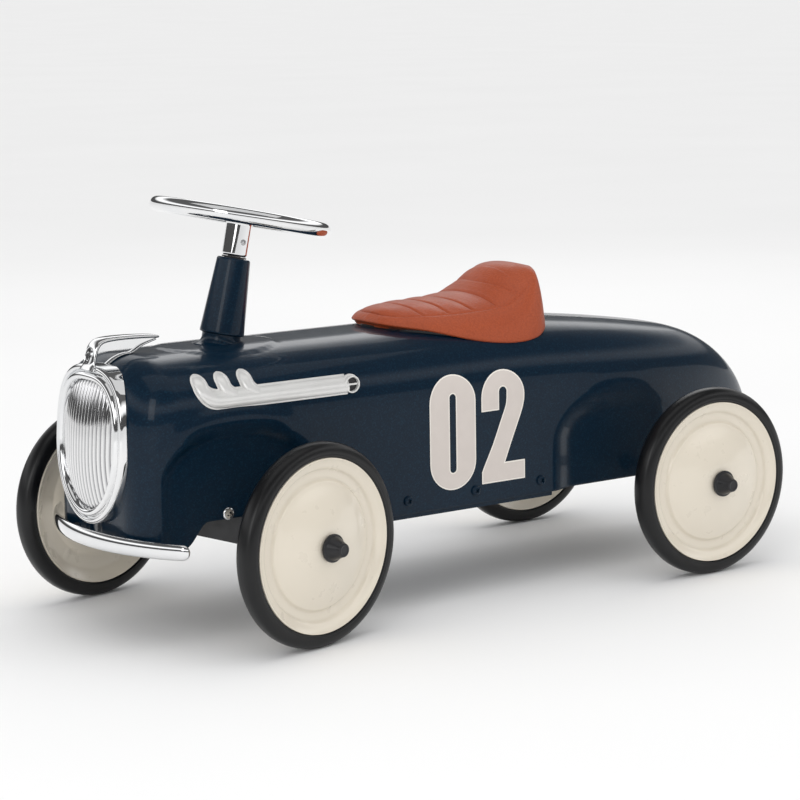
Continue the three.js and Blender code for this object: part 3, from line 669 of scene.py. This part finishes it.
sleeve_profile = rounded_profile([
    (9.8, 190.0), (9.8, 196.5), (14.4, 196.5), (15.5, 195.0), (20.6, 127.6), (20.4, 126.4), (18.0, 125.6),
], 0.7, 4)
sleeve_profile += [(17.9, 124.0), (17.9, 121.0), (18.6, 118.4), (20.4, 116.4), (23.4, 115.0), (26.0, 114.0)]
sleeve_profile += [(26.0, 112.0), (9.8, 112.0)]
sleeve = mesh_object("column_cover", *placed(lathe(sleeve_profile, 96, closed=True), COLUMN), crease=38)
finish_piece(sleeve, "chassis", "navy_paint", ["column_sleeve"])


def steering_wheel():
    parts = []
    ring_rows, tube_cols = 144, 28
    verts = []
    for i in range(ring_rows):
        a = 2 * math.pi * i / ring_rows
        for j in range(tube_cols):
            b = 2 * math.pi * j / tube_cols
            r = RING_R + TUBE_R * math.cos(b)
            verts.append((r * math.cos(a), r * math.sin(a), RING_AT + TUBE_R * math.sin(b)))
    parts.append((verts, grid_faces(ring_rows, tube_cols, True, True)))
    hub = rounded_profile([
        (0, 198.5), (10.4, 198.5), (12.0, 200.2), (12.0, 228.0), (13.5, 231.0), (16.0, 232.4), (16.0, 236.6),
        (12.5, 238.4), (0, 238.9),
    ], 0.8, 4)
    parts.append(lathe(hub, 64))
    for turn in (90, 210, 330):
        sections = []
        for t in np.linspace(0, 1, 14):
            r = mix(10.0, RING_R - 3.0, t)
            w = mix(8.0, 5.2, smooth(0, 0.5, t)) + 2.6 * smooth(0.75, 1.0, t)
            h = 2.0 + 0.6 * smooth(0.8, 1.0, t)
            sections.append([(r, w * math.copysign(abs(math.cos(a)) ** 0.6, math.cos(a)),
                              RING_AT + h * math.copysign(abs(math.sin(a)) ** 0.7, math.sin(a)))
                             for a in np.linspace(0, 2 * math.pi, 20, endpoint=False)])
        parts.append(placed(sweep(sections), Matrix.Rotation(math.radians(turn), 4, "Z")))
    obj = mesh_object("steering_ring", *placed(merged(parts), TURNED), crease=40)
    return finish_piece(obj, "steering_column", "chrome", ["steering_wheel"])


steering_wheel()


# ---- screws ----
RECESS = {"reach": 0.52, "width": 0.17, "depth": 0.75, "turn": 35}  # shares of the head's size, and degrees


def screw_head(name, matrix, r, rise, stands_for, body, slot):
    """A domed head with a cross recess, its axis along local +Z."""
    profile = [(0, -1.6), (r * 0.45, -1.6), (r * 0.45, 0.05), (r, 0.05), (r, 0.7)]
    for a in np.linspace(0.15, math.pi / 2, 8):
        profile.append((r * math.cos(a), 0.7 + (rise - 0.7) * math.sin(a)))
    profile[-1] = (0, rise)
    head = mesh_object(name, *placed(lathe(profile, 40), matrix), crease=35)
    arm, wide, deep = r * RECESS["reach"], r * RECESS["width"], rise * RECESS["depth"]
    for k in (0, 1):
        verts = [(x, y, z) for z, s in ((rise + 1, 1.15), (rise - deep, 0.55))
                 for x, y in ((-arm * s, -wide), (arm * s, -wide), (arm * s, wide), (-arm * s, wide))]
        faces = [(0, 1, 2, 3), (7, 6, 5, 4), (0, 4, 5, 1), (1, 5, 6, 2), (2, 6, 7, 3), (3, 7, 4, 0)]
        turn = Matrix.Rotation(math.radians(RECESS["turn"] + 90 * k), 4, "Z")
        cutter = mesh_object(f"{name}_cut{k}", *placed((verts, faces), matrix @ turn))
        boolean(head, cutter, "DIFFERENCE")
    return finish_piece(head, body, slot, stands_for)


for word, side in (("left", 1), ("right", -1)):
    facing = Matrix.Rotation(side * math.pi / 2, 4, "Y")
    for number in (1, 2, 3):
        node = f"side_screw_{word}_{number}"
        centre = middle_mm(node)
        at = Matrix.Translation((side * (HALF_W + 0.3), centre.y, centre.z)) @ facing
        screw_head(f"{node}_head", at, 4.9, 2.7, [node], "chassis", "navy_paint")
    node = f"front_screw_{word}"
    centre = middle_mm(node)
    at = Matrix.Translation((side * (WALL_X + 0.3), centre.y, centre.z)) @ facing
    screw_head(f"{node}_head", at, 5.7, 2.8, [node], "chassis", "chrome")
hub_screw = COLUMN @ Matrix.Translation((0, 0, 212.0)) @ TO_X @ Matrix.Translation((0, 0, 11.6))
screw_head("steering_screw_head", hub_screw, 2.7, 1.3, ["steering_screw"], "steering_column", "bright_steel")

# ---- grille ----
GRILLE_Z = middle_mm("grille_surround").z
SURROUND = box_mm("grille_surround")
OVAL_A, OVAL_B = SURROUND[1].x, (SURROUND[1].z - SURROUND[0].z) / 2
FACE_Y = FRONT_Y - 0.3


RING_W = 14.1  # from the outer edge of the surround to the insert
GRILLE_LEAN = 0.061  # how far the grille leans back for each millimetre of height
UPPER_POWER = 2.9  # the upper half of the oval is squarer than the lower half


def oval_point(a, b, turn):
    power = 2 / (UPPER_POWER if math.sin(turn) > 0 else 2.0)
    return (a * math.copysign(abs(math.cos(turn)) ** power, math.cos(turn)),
            b * math.copysign(abs(math.sin(turn)) ** power, math.sin(turn)))


def front_skin_y(x, z):
    """Where the shell's rounded front corner is, at a place seen from the front."""
    lo, hi = FRONT_Y, FRONT_Y + CORNER
    if half_width(lo) >= abs(x) and z <= skin_z(x, lo):
        return lo
    for _ in range(24):
        mid = (lo + hi) / 2
        inside = half_width(mid) >= abs(x) and z <= skin_z(x, mid)
        lo, hi = (lo, mid) if inside else (mid, hi)
    return hi


# Step in from the outer edge, and how far forward of the front face.
SURROUND_PROFILE = [
    (0.0, 1.2), (0.2, 3.2), (1.2, 4.9), (2.8, 5.6), (4.4, 5.3), (5.2, 4.0), (5.6, 2.6), (6.2, 2.6),
    (6.8, 4.6), (8.0, 6.9), (10.0, 8.0), (12.0, 7.6), (13.2, 6.2), (13.9, 4.0), (14.2, 1.0), (14.2, 0.2),
]


BACK_W = 12.0  # the part of the ring that rests on the shell


def surround():
    turns = 160
    profile = curve_through([(e, f, 0) for e, f in SURROUND_PROFILE], 2)
    rows = []
    for k in range(turns):
        a = 2 * math.pi * k / turns
        ring = []
        x, z = oval_point(OVAL_A, OVAL_B, a)
        back = front_skin_y(x * 0.995, GRILLE_Z + z * 0.995) - 0.2
        for p in profile:
            px, pz = oval_point(OVAL_A - p.x, OVAL_B - p.x, a)
            ring.append((px, FACE_Y - p.y + GRILLE_LEAN * pz, GRILLE_Z + pz))
        px, pz = oval_point(OVAL_A - BACK_W, OVAL_B - BACK_W, a)
        ring.append((px, FACE_Y + min(GRILLE_LEAN * pz, 0), GRILLE_Z + pz))
        ring.append((x * 0.96, min(back, FACE_Y + 20), GRILLE_Z + z * 0.96))
        ring.append((x, back, GRILLE_Z + z))
        rows.append(ring)
    verts = [p for ring in rows for p in ring]
    obj = mesh_object("grille_ring", verts, grid_faces(turns, len(rows[0]), True, True), crease=32)
    return finish_piece(obj, "chassis", "chrome", ["grille_surround"])


surround()


def insert():
    """A bulging oval with upright ribs."""
    a, b = OVAL_A - RING_W, OVAL_B - RING_W
    cols = 204
    verts = []
    rows = 56
    for u in np.linspace(-1, 1, cols + 1):
        x = a * u
        for k in range(rows + 1):
            v = -1 + 2 * k / rows
            power = UPPER_POWER if v > 0 else 2.0
            z = b * v * max(1 - abs(u) ** power, 0.0) ** (1 / power)
            q = min((abs(u) ** power + abs(z / b) ** power) ** (1 / power), 1.0)
            phase = abs(math.cos(math.pi * x / RIB_PITCH))
            rib = 2.0 * (phase ** 0.7 - 0.5) * (1 - smooth(0.93, 0.99, q))
            verts.append((x, FACE_Y - 2.6 - 9.4 * (1 - q ** 2.4) - rib + GRILLE_LEAN * z, GRILLE_Z + z))
    faces = grid_faces(cols + 1, rows + 1)
    obj = mesh_object("grille_ribs", verts, faces, crease=60)
    thick = obj.modifiers.new("thick", "SOLIDIFY")
    thick.thickness = 0.0012
    thick.offset = 1 if obj.data.polygons[0].normal.y > 0 else -1
    return finish_piece(obj, "chassis", "satin_trim", ["grille_insert"], look="ribbed_chrome")


insert()


# ---- hood ornament ----
def band(centres, halves, thick, steps=6):
    """A rounded bar in the car's middle plane: centres in (y, z), half widths in x, thicknesses."""
    path = curve_through([(c[0], c[1], 0) for c in centres], steps)
    width = curve_through([(h, 0, 0) for h in halves], steps)
    depth = curve_through([(t, 0, 0) for t in thick], steps)
    sections = []
    for i, p in enumerate(path):
        a, b = path[max(i - 1, 0)], path[min(i + 1, len(path) - 1)]
        along = (b - a).normalized()
        n = Vector((-along.y, along.x))
        w, t = width[i].x, depth[i].x / 2
        ring = []
        for k in range(20):
            q = 2 * math.pi * k / 20
            cx = w * math.copysign(abs(math.cos(q)) ** 0.55, math.cos(q))
            cn = t * math.copysign(abs(math.sin(q)) ** 0.8, math.sin(q))
            ring.append((cx, p.x + n.x * cn, p.y + n.y * cn))
        sections.append(ring)
    return sweep(sections)


# Middle line of the arm in (y, z), with its half width and its thickness.
ARM = [
    (-374.6, 245.5, 12.0, 5), (-371.4, 251.0, 10.0, 5), (-369.4, 259.5, 9.4, 5), (-366.6, 266.2, 9.0, 5),
    (-361.0, 270.4, 8.6, 4.8), (-350.0, 271.8, 8.0, 4.4), (-333.0, 271.8, 7.0, 4.2),
    (-314.0, 270.8, 5.4, 3.8), (-303.5, 269.6, 3.4, 3.0), (-300.8, 268.9, 1.2, 1.4),
]


def ornament():
    y = Y0
    arm = band([(y + a, b) for a, b, _, _ in ARM], [w for _, _, w, _ in ARM], [t for _, _, _, t in ARM])
    hood = [(yy, skin_z(0, yy) + 1.2) for yy in (y - 362, y - 357, y - 349, y - 340, y - 331)]
    hood = [(y - 370.0, 246.5)] + [(a, b) for a, b in hood if b > 240]
    hood += [(y - 320.0, 263.5), (y - 305.0, 267.6)]
    strip = band(hood, [8.0] + [6.2] * (len(hood) - 3) + [5.0, 3.0], [2.2] * len(hood), 4)
    edge = [(y - 371.5, 250), (y - 368.6, 261), (y - 364.5, 267.5), (y - 352, 271.0), (y - 304, 268.6)]
    outline = edge + list(reversed(hood))
    n = len(outline)
    verts = [(s * 2.2, a, b) for s in (-1, 1) for a, b in outline]
    faces = [tuple(range(n)), tuple(range(2 * n - 1, n - 1, -1))]
    faces += [(i, (i + 1) % n, n + (i + 1) % n, n + i) for i in range(n)]
    obj = mesh_object("hood_mascot", *merged([arm, strip, (verts, faces)]), crease=45)
    finish_piece(obj, "chassis", "chrome", ["hood_ornament"])
    oval = middle_mm("ornament_badge")
    lean = Matrix.Rotation(-math.atan(0.2), 4, "X")
    face = Matrix.Translation((0, oval.y + 0.4, oval.z)) @ lean @ Matrix.Rotation(math.pi / 2, 4, "X")
    flat = Matrix.Diagonal((5.2 / 7.6, 1.0, 1.0, 1.0))
    plate = lathe(rounded_profile([(0, -1.0), (7.4, -1.0), (7.4, 0.5), (0, 0.9)], 0.3), 64)
    badge = mesh_object("badge_face", *placed(plate, face @ flat), crease=35)
    finish_piece(badge, "chassis", "black_plastic", ["ornament_badge"])
    rim = lathe([(7.2, -0.6), (7.2, 0.9), (7.7, 1.3), (8.3, 0.9), (8.3, -0.6)], 64, closed=True)
    inner = lathe([(3.2, 0.6), (3.2, 1.2), (3.9, 1.35), (4.5, 1.2), (4.5, 0.6)], 48, closed=True)
    ring = mesh_object("badge_rim", *placed(merged([rim, inner]), face @ flat), crease=40)
    finish_piece(ring, "chassis", "chrome")


ornament()


# ---- bumper ----
def bumper():
    lo, hi = box_mm("bumper")
    end_x, front, end_y = hi.x, lo.y, hi.y
    mid_z = (lo.z + hi.z) / 2
    rise = end_y - front
    r = (end_x ** 2 + rise ** 2) / (2 * rise)
    span = math.asin(end_x / r)
    sections = []
    steps = 96
    for i in range(steps + 1):
        s = -math.cos(math.pi * i / steps)
        a = span * s * 0.985
        from_end = min((1 - abs(s)) * span * r / 8.0, 1.0)
        shrink = math.sqrt(max(1 - (1 - from_end) ** 2, 0.0)) * mix(1.0, 0.9, abs(s) ** 2)
        h = max((hi.z - lo.z) / 2 * shrink, 0.4)
        t = max(4.6 * shrink, 0.4)
        centre_r = r - 4.6
        ring = []
        for k in range(28):
            q = 2 * math.pi * k / 28
            out_ = t * math.cos(q) * (0.55 if math.cos(q) < 0 else 1.0)
            up = h * math.copysign(abs(math.sin(q)) ** 0.9, math.sin(q))
            rr = centre_r + out_
            ring.append((rr * math.sin(a), front + r - rr * math.cos(a), mid_z + up))
        sections.append(ring)
    obj = mesh_object("bumper_blade", *sweep(sections), crease=50)
    return finish_piece(obj, "chassis", "chrome", ["bumper"])


bumper()


# ---- exhaust trims ----
PIPE_R, TIP_R, STUB_R, PIPE_RELIEF, FLANGE = 7.4, 6.4, 5.8, 5.2, 1.6
CUP_FROM_END = 7.6  # middle of the open end, from the end of the CAD trim
PATH_STEP = 0.8
# Middle line of a stub, from its rounded tip at the top into the main pipe, relative to the tip in (y, z).
STUB_LINE = [(-0.7, 6.2), (0, 0), (1.0, -6.0), (5.5, -11.5), (12.5, -14.5), (21.5, -15.0)]
STUB_TIPS = [(-305.5, 236.0), (-282.0, 236.0), (-258.6, 236.0)]


def evenly(points, gap):
    """The same path as points one gap apart."""
    out, left = [Vector(points[0])], gap
    for a, b in zip(points, points[1:]):
        a, b = Vector(a), Vector(b)
        length = (b - a).length
        at = left
        while at <= length:
            out.append(a.lerp(b, at / length))
            at += gap
        left = at - length
    return out


def half_pipe(path, side, radius, relief):
    """A half-round moulding that follows evenly spaced points (y, z) on one side of the shell."""
    sections, gone = [], 0.0
    for i, p in enumerate(path):
        a, b = path[max(i - 1, 0)], path[min(i + 1, len(path) - 1)]
        along = (b - a).normalized()
        n = Vector((-along.y, along.x))
        gone += (p - a).length
        r = radius(gone)
        k = math.sqrt(max(1 - (1 - min(gone / r, 1.0)) ** 2, 0.004))
        ring = []
        for j in range(20):
            q = math.pi * j / 19
            c, h = math.cos(q), max(math.sin(q), 0.0) ** 0.85
            yy, zz = p.x + n.x * c * r * k, p.y + n.y * c * r * k
            ring.append((side * (skin_x(yy, zz) + h * relief * k), yy, zz))
        for c in (-0.9, 0.9):
            yy, zz = p.x + n.x * c * r * k, p.y + n.y * c * r * k
            ring.append((side * (skin_x(yy, zz) - 1.2), yy, zz))
        sections.append(ring)
    return sweep(sections)


def main_radius(along):
    return mix(TIP_R, PIPE_R, smooth(6, 26, along))


def trims(word, side):
    end, axis_z = box_mm(f"exhaust_trim_{word}")[1].y - CUP_FROM_END, STUB_TIPS[0][1] + STUB_LINE[-1][1]
    parts, plates = [], []
    for k, (tip_y, tip_z) in enumerate(STUB_TIPS):
        down = [(Y0 + tip_y + a, tip_z + b) for a, b in STUB_LINE]
        points = curve_through([(a, b, 0) for a, b in down], 12)
        points = [Vector((p.x, p.y)) for p in points]
        if k == 0:
            points.append(Vector((end - 3.0, axis_z)))
        path = evenly(points, PATH_STEP)
        r = main_radius if k == 0 else lambda _: STUB_R
        parts.append(half_pipe(path, side, r, PIPE_RELIEF * (1 if k == 0 else 0.94)))
        start = path[0] + (path[0] - path[2]).normalized() * FLANGE
        wide = [start] + points
        plates.append(half_pipe(evenly(wide, PATH_STEP), side, lambda s, r=r: r(s) + FLANGE, 1.0))
    place = Matrix.Translation((side * skin_x(end, axis_z), end, axis_z))
    facing = place @ Matrix.Rotation(side * math.pi / 2, 4, "Y")
    cup = rounded_profile([
        (9.1, -1.2), (9.1, 0.9), (8.0, 1.3), (8.0, 5.5), (6.9, 5.9), (6.4, 5.2), (6.4, 2.0), (0, 1.8),
    ], 0.4)
    parts.append(placed(lathe(cup, 48), facing))
    bar = [(x, y, z) for x in (-0.8, 0.8) for y, z in ((-6.1, 1.6), (6.1, 1.6), (6.1, 4.2), (-6.1, 4.2))]
    bar_faces = [(0, 1, 2, 3), (7, 6, 5, 4), (0, 4, 5, 1), (1, 5, 6, 2), (2, 6, 7, 3), (3, 7, 4, 0)]
    parts.append(placed((bar, bar_faces), facing))
    obj = mesh_object(f"side_pipes_{word}", *merged(parts + plates), crease=40)
    finish_piece(obj, "chassis", "satin_trim", [f"exhaust_trim_{word}"])
    # a black disc sunk in the open end paints the shade deep inside the pipe's hole
    bore_shade_disc = lathe([(0, 1.9), (6.3, 1.9), (6.3, 2.6), (0, 2.4)], 40)
    dark = mesh_object(f"pipe_bore_shade_{word}", *placed(bore_shade_disc, facing), crease=40)
    finish_piece(dark, "chassis", "black_plastic")


for word, side in (("left", 1), ("right", -1)):
    trims(word, side)


# ---- racing number ----
def arc(cx, cz, r, start, end, steps=18):
    return [(cx + r * math.cos(math.radians(mix(start, end, i / steps))),
             cz + r * math.sin(math.radians(mix(start, end, i / steps)))) for i in range(steps + 1)]


def nought(inset):
    r = 26.5 - inset
    outer = arc(0, 83.5, r, 0, 180) + arc(0, 26.5, r, 180, 360)
    s = 3.7 + inset
    return outer, arc(0, 88.0, s, 0, 180, 10) + arc(0, 20.0, s, 180, 360, 10)


def inset_line(points, d):
    """A closed outline moved inwards by d; it runs counter-clockwise."""
    out = []
    n = len(points)
    for i in range(n):
        p, a, b = Vector(points[i]), Vector(points[i - 1]), Vector(points[(i + 1) % n])
        u, v = (p - a).normalized(), (b - p).normalized()
        m = (Vector((-u.y, u.x)) + Vector((-v.y, v.x)))
        m = m.normalized() if m.length > 1e-6 else Vector((-u.y, u.x))
        scale = min(1 / max(m.dot(Vector((-u.y, u.x))), 0.35), 2.0)
        out.append(tuple(p + m * d * scale))
    return out


def two(inset):
    left_side = curve_through([
        (4.2, 80.0, 0), (3.0, 73.0, 0), (-2.5, 60.0, 0), (-12.0, 38.0, 0), (-21.0, 20.5, 0), (-24.3, 14.0, 0),
    ], 4)
    right_side = curve_through([
        (1.8, 18.5, 0), (9.5, 37.0, 0), (17.0, 54.0, 0), (22.5, 67.0, 0), (25.0, 76.0, 0), (25.5, 82.5, 0),
    ], 4)
    outline = [(-25.5, 0), (25.5, 0), (25.5, 18.5)] + [(p.x, p.y) for p in right_side]
    outline += arc(0, 82.5, 25.5, 6, 180) + [(-25.5, 69.5), (-4.8, 69.5), (-4.8, 86.5)]
    outline += arc(-0.2, 87.0, 4.6, 174, 6, 10) + [(p.x, p.y) for p in left_side] + [(-25.5, 11.5)]
    return inset_line(outline, inset), None


def prism(loop, x0, x1):
    n = len(loop)
    verts = [(x0, a, b) for a, b in loop] + [(x1, a, b) for a, b in loop]
    faces = [tuple(range(n)), tuple(range(2 * n - 1, n - 1, -1))]
    faces += [(i, (i + 1) % n, n + (i + 1) % n, n + i) for i in range(n)]
    return verts, faces


def skin_slab(y0, y1, z0, z1, inner, outer, side):
    ys, zs = np.linspace(y0, y1, 12), np.linspace(z0, z1, 44)
    verts = []
    for lift in (inner, outer):
        verts += [(side * (skin_x(y, z) + lift), y, z) for y in ys for z in zs]
    rows, cols, half = len(ys), len(zs), len(ys) * len(zs)
    faces = grid_faces(rows, cols)
    faces += [tuple(i + half for i in reversed(f)) for f in grid_faces(rows, cols)]
    rim = [i * cols for i in range(rows)] + [(rows - 1) * cols + j for j in range(1, cols)]
    rim += [i * cols + cols - 1 for i in range(rows - 2, -1, -1)] + [j for j in range(cols - 2, 0, -1)]
    faces += [(rim[i], rim[(i + 1) % len(rim)], rim[(i + 1) % len(rim)] + half, rim[i] + half)
              for i in range(len(rim))]
    return verts, faces


# Name, step in from the outline, lower and upper face above the shell, and look.
PRINT_LAYERS = [("edge", 0.0, 0.1, 0.45, "number_edge"), ("fill", 1.2, 0.1, 0.6, "number_print")]


def digit(number, draw, word, side):
    node = f"digit_{number}_{word}"
    lo, hi = box_mm(node)
    mid_y = (lo.y + hi.y) / 2
    for label, inset, inner, outer, look in PRINT_LAYERS:
        slab = skin_slab(lo.y - 3, hi.y + 3, lo.z - 3, hi.z + 3, inner, outer, side)
        obj = mesh_object(f"{node}_{label}", *slab, crease=30)
        outline, hole = draw(inset)
        place = lambda loop: [(mid_y + side * u, lo.z + v) for u, v in loop]
        boolean(obj, mesh_object("cut", *prism(place(outline), side * 60, side * 110)), "INTERSECT")
        if hole:
            boolean(obj, mesh_object("cut", *prism(place(hole), side * 50, side * 120)), "DIFFERENCE")
        finish_piece(obj, "chassis", "number_print", [node], look=look)


for word, side in (("left", 1), ("right", -1)):
    digit(0, nought, word, side)
    digit(2, two, word, side)

# ---- seat ----
# Right half, from the nose to the back: lower edge (x, y), and the piping line (x, y, z).
SEAT_EDGE = [
    (0, -77), (24, -74.5), (42, -62), (56, -40), (67, -14), (74, 16), (76.5, 44), (75, 67), (69.5, 83.5),
    (57.5, 96.5), (38, 106), (20, 110.5), (0, 112),
]
SEAT_LINE = [
    (0, -69, 270), (18, -66.5, 269), (34, -58, 268.5), (44, -41, 268.8), (50, -14, 268.6), (53, 12, 269.6),
    (55, 38, 271.5), (55, 59, 276.5), (53, 78, 288), (47.5, 91, 299), (33, 99.5, 303.5), (17, 102.2, 304.3),
    (0, 103, 304.5),
]
# Top of the middle line (y, z).
SEAT_CROWN = [
    (-77, 262), (-71, 270), (-58, 275), (-25, 277), (0, 277.8), (20, 278.6), (34, 280.5), (45, 284.5),
    (55, 291.5), (65, 299.5), (75, 304.8), (87, 306.4), (98, 305.8), (105, 302), (109, 295), (114, 283),
]
# Middle of each sewn groove, and how much further back it is at the piping.
SEAT_GROOVES = [(-41, 2), (-14, 2), (12, 2), (39, 2), (55, 13)]


def seat_crown(y):
    pts = SEAT_CROWN
    for i in range(1, len(pts)):
        if y <= pts[i][0] or i == len(pts) - 1:
            a, b = pts[i - 1], pts[i]
            h = b[0] - a[0]
            t = min(max((y - a[0]) / h, 0.0), 1.0)
            slope = lambda k: (pts[min(k + 1, len(pts) - 1)][1] - pts[max(k - 1, 0)][1]) / max(
                pts[min(k + 1, len(pts) - 1)][0] - pts[max(k - 1, 0)][0], 1e-6)
            m0, m1 = slope(i - 1) * h, slope(i) * h
            return ((2 * t ** 3 - 3 * t ** 2 + 1) * a[1] + (t ** 3 - 2 * t ** 2 + t) * m0
                    + (3 * t ** 2 - 2 * t ** 3) * b[1] + (t ** 3 - t ** 2) * m1)


def seat():
    per_span = 20
    edge = curve_through([(x, y, 0) for x, y in SEAT_EDGE], per_span)
    line = curve_through(SEAT_LINE, per_span)
    rows = []
    top_steps, skirt_steps, under_steps = 26, 24, 10
    for e, c in zip(edge, line):
        cx, cy = max(c.x, 0.0), c.y
        row = []
        spine = seat_crown(cy)
        width = smooth(0, 30, cx)
        for j in range(top_steps + 1):
            f = 1 - (1 - j / top_steps) ** 1.6
            x = cx * f
            z = c.z + (max(spine, c.z) - c.z) * (1 - f ** 2.3)
            near = min(abs(cy - g - bow * f * f) for g, bow in SEAT_GROOVES)
            reach = (1 - smooth(0.93, 1.0, f)) * width
            z -= 1.9 * math.exp(-(near / 1.25) ** 2) * reach
            z += 0.7 * smooth(2, 12, near) * reach * (1 - smooth(0.8, 1.0, f)) * (1 if -45 < cy < 70 else 0)
            z -= 1.1 * math.exp(-((1 - f) * max(cx, 8) / 1.3) ** 2)
            row.append((x, cy + Y0, z))
        lifted = 2.6 + 3.4 * (1 - smooth(-55, 15, e.y))
        foot = Vector((max(e.x, 0.0), e.y, skin_z(max(e.x, 0.0), e.y + Y0) + lifted))
        drop = c.z - foot.z
        bulge = Vector((mix(cx, foot.x, 0.68), mix(cy, foot.y, 0.68), foot.z + drop * 0.80))
        for j in range(1, skirt_steps + 1):
            t = (j / skirt_steps) ** 1.15
            p = Vector((cx, cy, c.z)) * (1 - t) ** 2 + bulge * 2 * t * (1 - t) + foot * t * t
            row.append((p.x, p.y + Y0, p.z - 1.1 * math.exp(-(t * 22) ** 2)))
        inward = Vector((-foot.x, 20 - foot.y, 0))
        inward = inward.normalized() if inward.length > 0 else inward
        for j in range(1, 5):
            a = j / 4 * math.pi / 2
            q = foot + inward * (2.4 * (1 - math.cos(a))) + Vector((0, 0, -2.2 * math.sin(a)))
            row.append((q.x, q.y + Y0, q.z))
        last = Vector(row[-1])
        for j in range(1, under_steps + 1):
            x = last.x * (1 - j / under_steps)
            y = mix(last.y, Y0 + mix(-60, 105, (e.y + 77) / 201), smooth(0, 1, j / under_steps))
            row.append((x, y, skin_z(x, y) + mix(0.4, 2.4, smooth(0, 0.3, j / under_steps))))
        rows.append(row)
    cols = len(rows[0])
    right = [p for row in rows for p in row]
    left = [(-x, y, z) for x, y, z in right]
    faces = grid_faces(len(rows), cols)
    both = merged([(right, faces), (left, [tuple(reversed(f)) for f in faces])])
    obj = mesh_object("seat_pad", *both, crease=75)
    finish_piece(obj, "chassis", "seat_leather", ["seat"])


seat()

# ---- what is left of the frame ----
NODE_LOOKS = {
    "floor_plate": "navy_paint",
    "front_cross_member": "black_paint",
    "rear_axle_bracket": "black_paint",
    "rear_axle": "bright_steel",
    "front_axle": "bright_steel",
    "front_beam": "black_paint",
    "kingpin": "bright_steel",
    "kingpin_boss": "bright_steel",
    "thrust_washer": "bronze",
    "column_bush": "black_plastic",
    "steering_shaft": "bright_steel",
    "seat_base": "black_plastic",
    "seat_bolt_1": "bright_steel",
    "seat_bolt_2": "bright_steel",
    "bumper_bolt_left": "bright_steel",
    "bumper_bolt_right": "bright_steel",
}
for wheel_name in ("front_left", "front_right", "rear_left", "rear_right"):
    NODE_LOOKS[f"{wheel_name}_bush"] = "black_plastic"
for node, look in NODE_LOOKS.items():
    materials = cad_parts[node].data.materials
    materials.clear()
    materials.append(LOOKS[look])

# ---- floor, light and camera ----
floor_verts, floor_faces = lathe([(0, 0), (1500, 0), (6000, 0), (30000, 0), (45000, 300), (60000, 2000)], 64)
floor = mesh_object("studio_floor", floor_verts, floor_faces)
floor.data.materials.append(pale_floor())


def softbox(name, at, aim, size, power):
    light = bpy.data.lights.new(name, "AREA")
    light.shape = "RECTANGLE"
    light.size, light.size_y = size
    light.energy = power
    obj = bpy.data.objects.new(name, light)
    bpy.context.scene.collection.objects.link(obj)
    obj.location = at
    obj.rotation_mode = "QUATERNION"
    obj.rotation_quaternion = (Vector(aim) - Vector(at)).to_track_quat("-Z", "Y")
    return obj


softbox("overhead", (0.3, -0.1, 2.2), (0, 0, 0.1), (2.6, 1.6), 8)
softbox("front_left", (1.7, -2.6, 1.5), (0, -0.1, 0.15), (0.9, 1.8), 12)
softbox("rear_fill", (-1.8, 1.6, 1.6), (0, 0, 0.2), (1.6, 1.2), 4)

world = bpy.data.worlds.new("studio")
bpy.context.scene.world = world
world.use_nodes = True
tree = world.node_tree
shade = tree.nodes["Background"]
coord = tree.nodes.new("ShaderNodeTexCoord")
split = tree.nodes.new("ShaderNodeSeparateXYZ")
ramp = tree.nodes.new("ShaderNodeValToRGB")
tree.links.new(coord.outputs["Generated"], split.inputs[0])
tree.links.new(split.outputs["Z"], ramp.inputs["Fac"])
path = tree.nodes.new("ShaderNodeLightPath")
share = tree.nodes.new("ShaderNodeMix")
share.data_type = "RGBA"
share.inputs[6].default_value = (1, 1, 1, 1)
tree.links.new(path.outputs["Is Glossy Ray"], share.inputs[0])
tree.links.new(ramp.outputs["Color"], share.inputs[7])
tree.links.new(share.outputs[2], shade.inputs["Color"])
# What polished surfaces see: height of the direction, and brightness.
SKY = [(0.0, 0.07), (0.22, 0.09), (0.30, 1.1), (0.42, 1.5), (0.50, 0.8), (0.58, 0.12), (1.0, 0.10)]
while len(ramp.color_ramp.elements) < len(SKY):
    ramp.color_ramp.elements.new(0.5)
for element, (position, value) in zip(ramp.color_ramp.elements, SKY):
    element.position = position
    element.color = (value, value, value * 1.005, 1)
shade.inputs["Strength"].default_value = 0.98

CAMERA_AT = Vector((1.96945, -1.39621, 0.58874))
TURN, RAISE, ROLL = math.radians(55.54), math.radians(9.67), math.radians(-0.91)
SENSOR, LENS = 36.0, 112.54
cam_data = bpy.data.cameras.new("camera")
cam_data.sensor_width = SENSOR
cam_data.lens = LENS
cam_data.clip_start, cam_data.clip_end = 0.05, 200
camera = bpy.data.objects.new("camera", cam_data)
bpy.context.scene.collection.objects.link(camera)
back = Vector((math.sin(TURN) * math.cos(RAISE), -math.cos(TURN) * math.cos(RAISE), math.sin(RAISE)))
right = Vector((math.cos(TURN), math.sin(TURN), 0))
up = back.cross(right)
right, up = right * math.cos(ROLL) + up * math.sin(ROLL), up * math.cos(ROLL) - right * math.sin(ROLL)
camera.matrix_world = Matrix.Translation(CAMERA_AT) @ Matrix((right, up, back)).transposed().to_4x4()
bpy.context.scene.camera = camera
bpy.context.scene.view_settings.view_transform = "Standard"
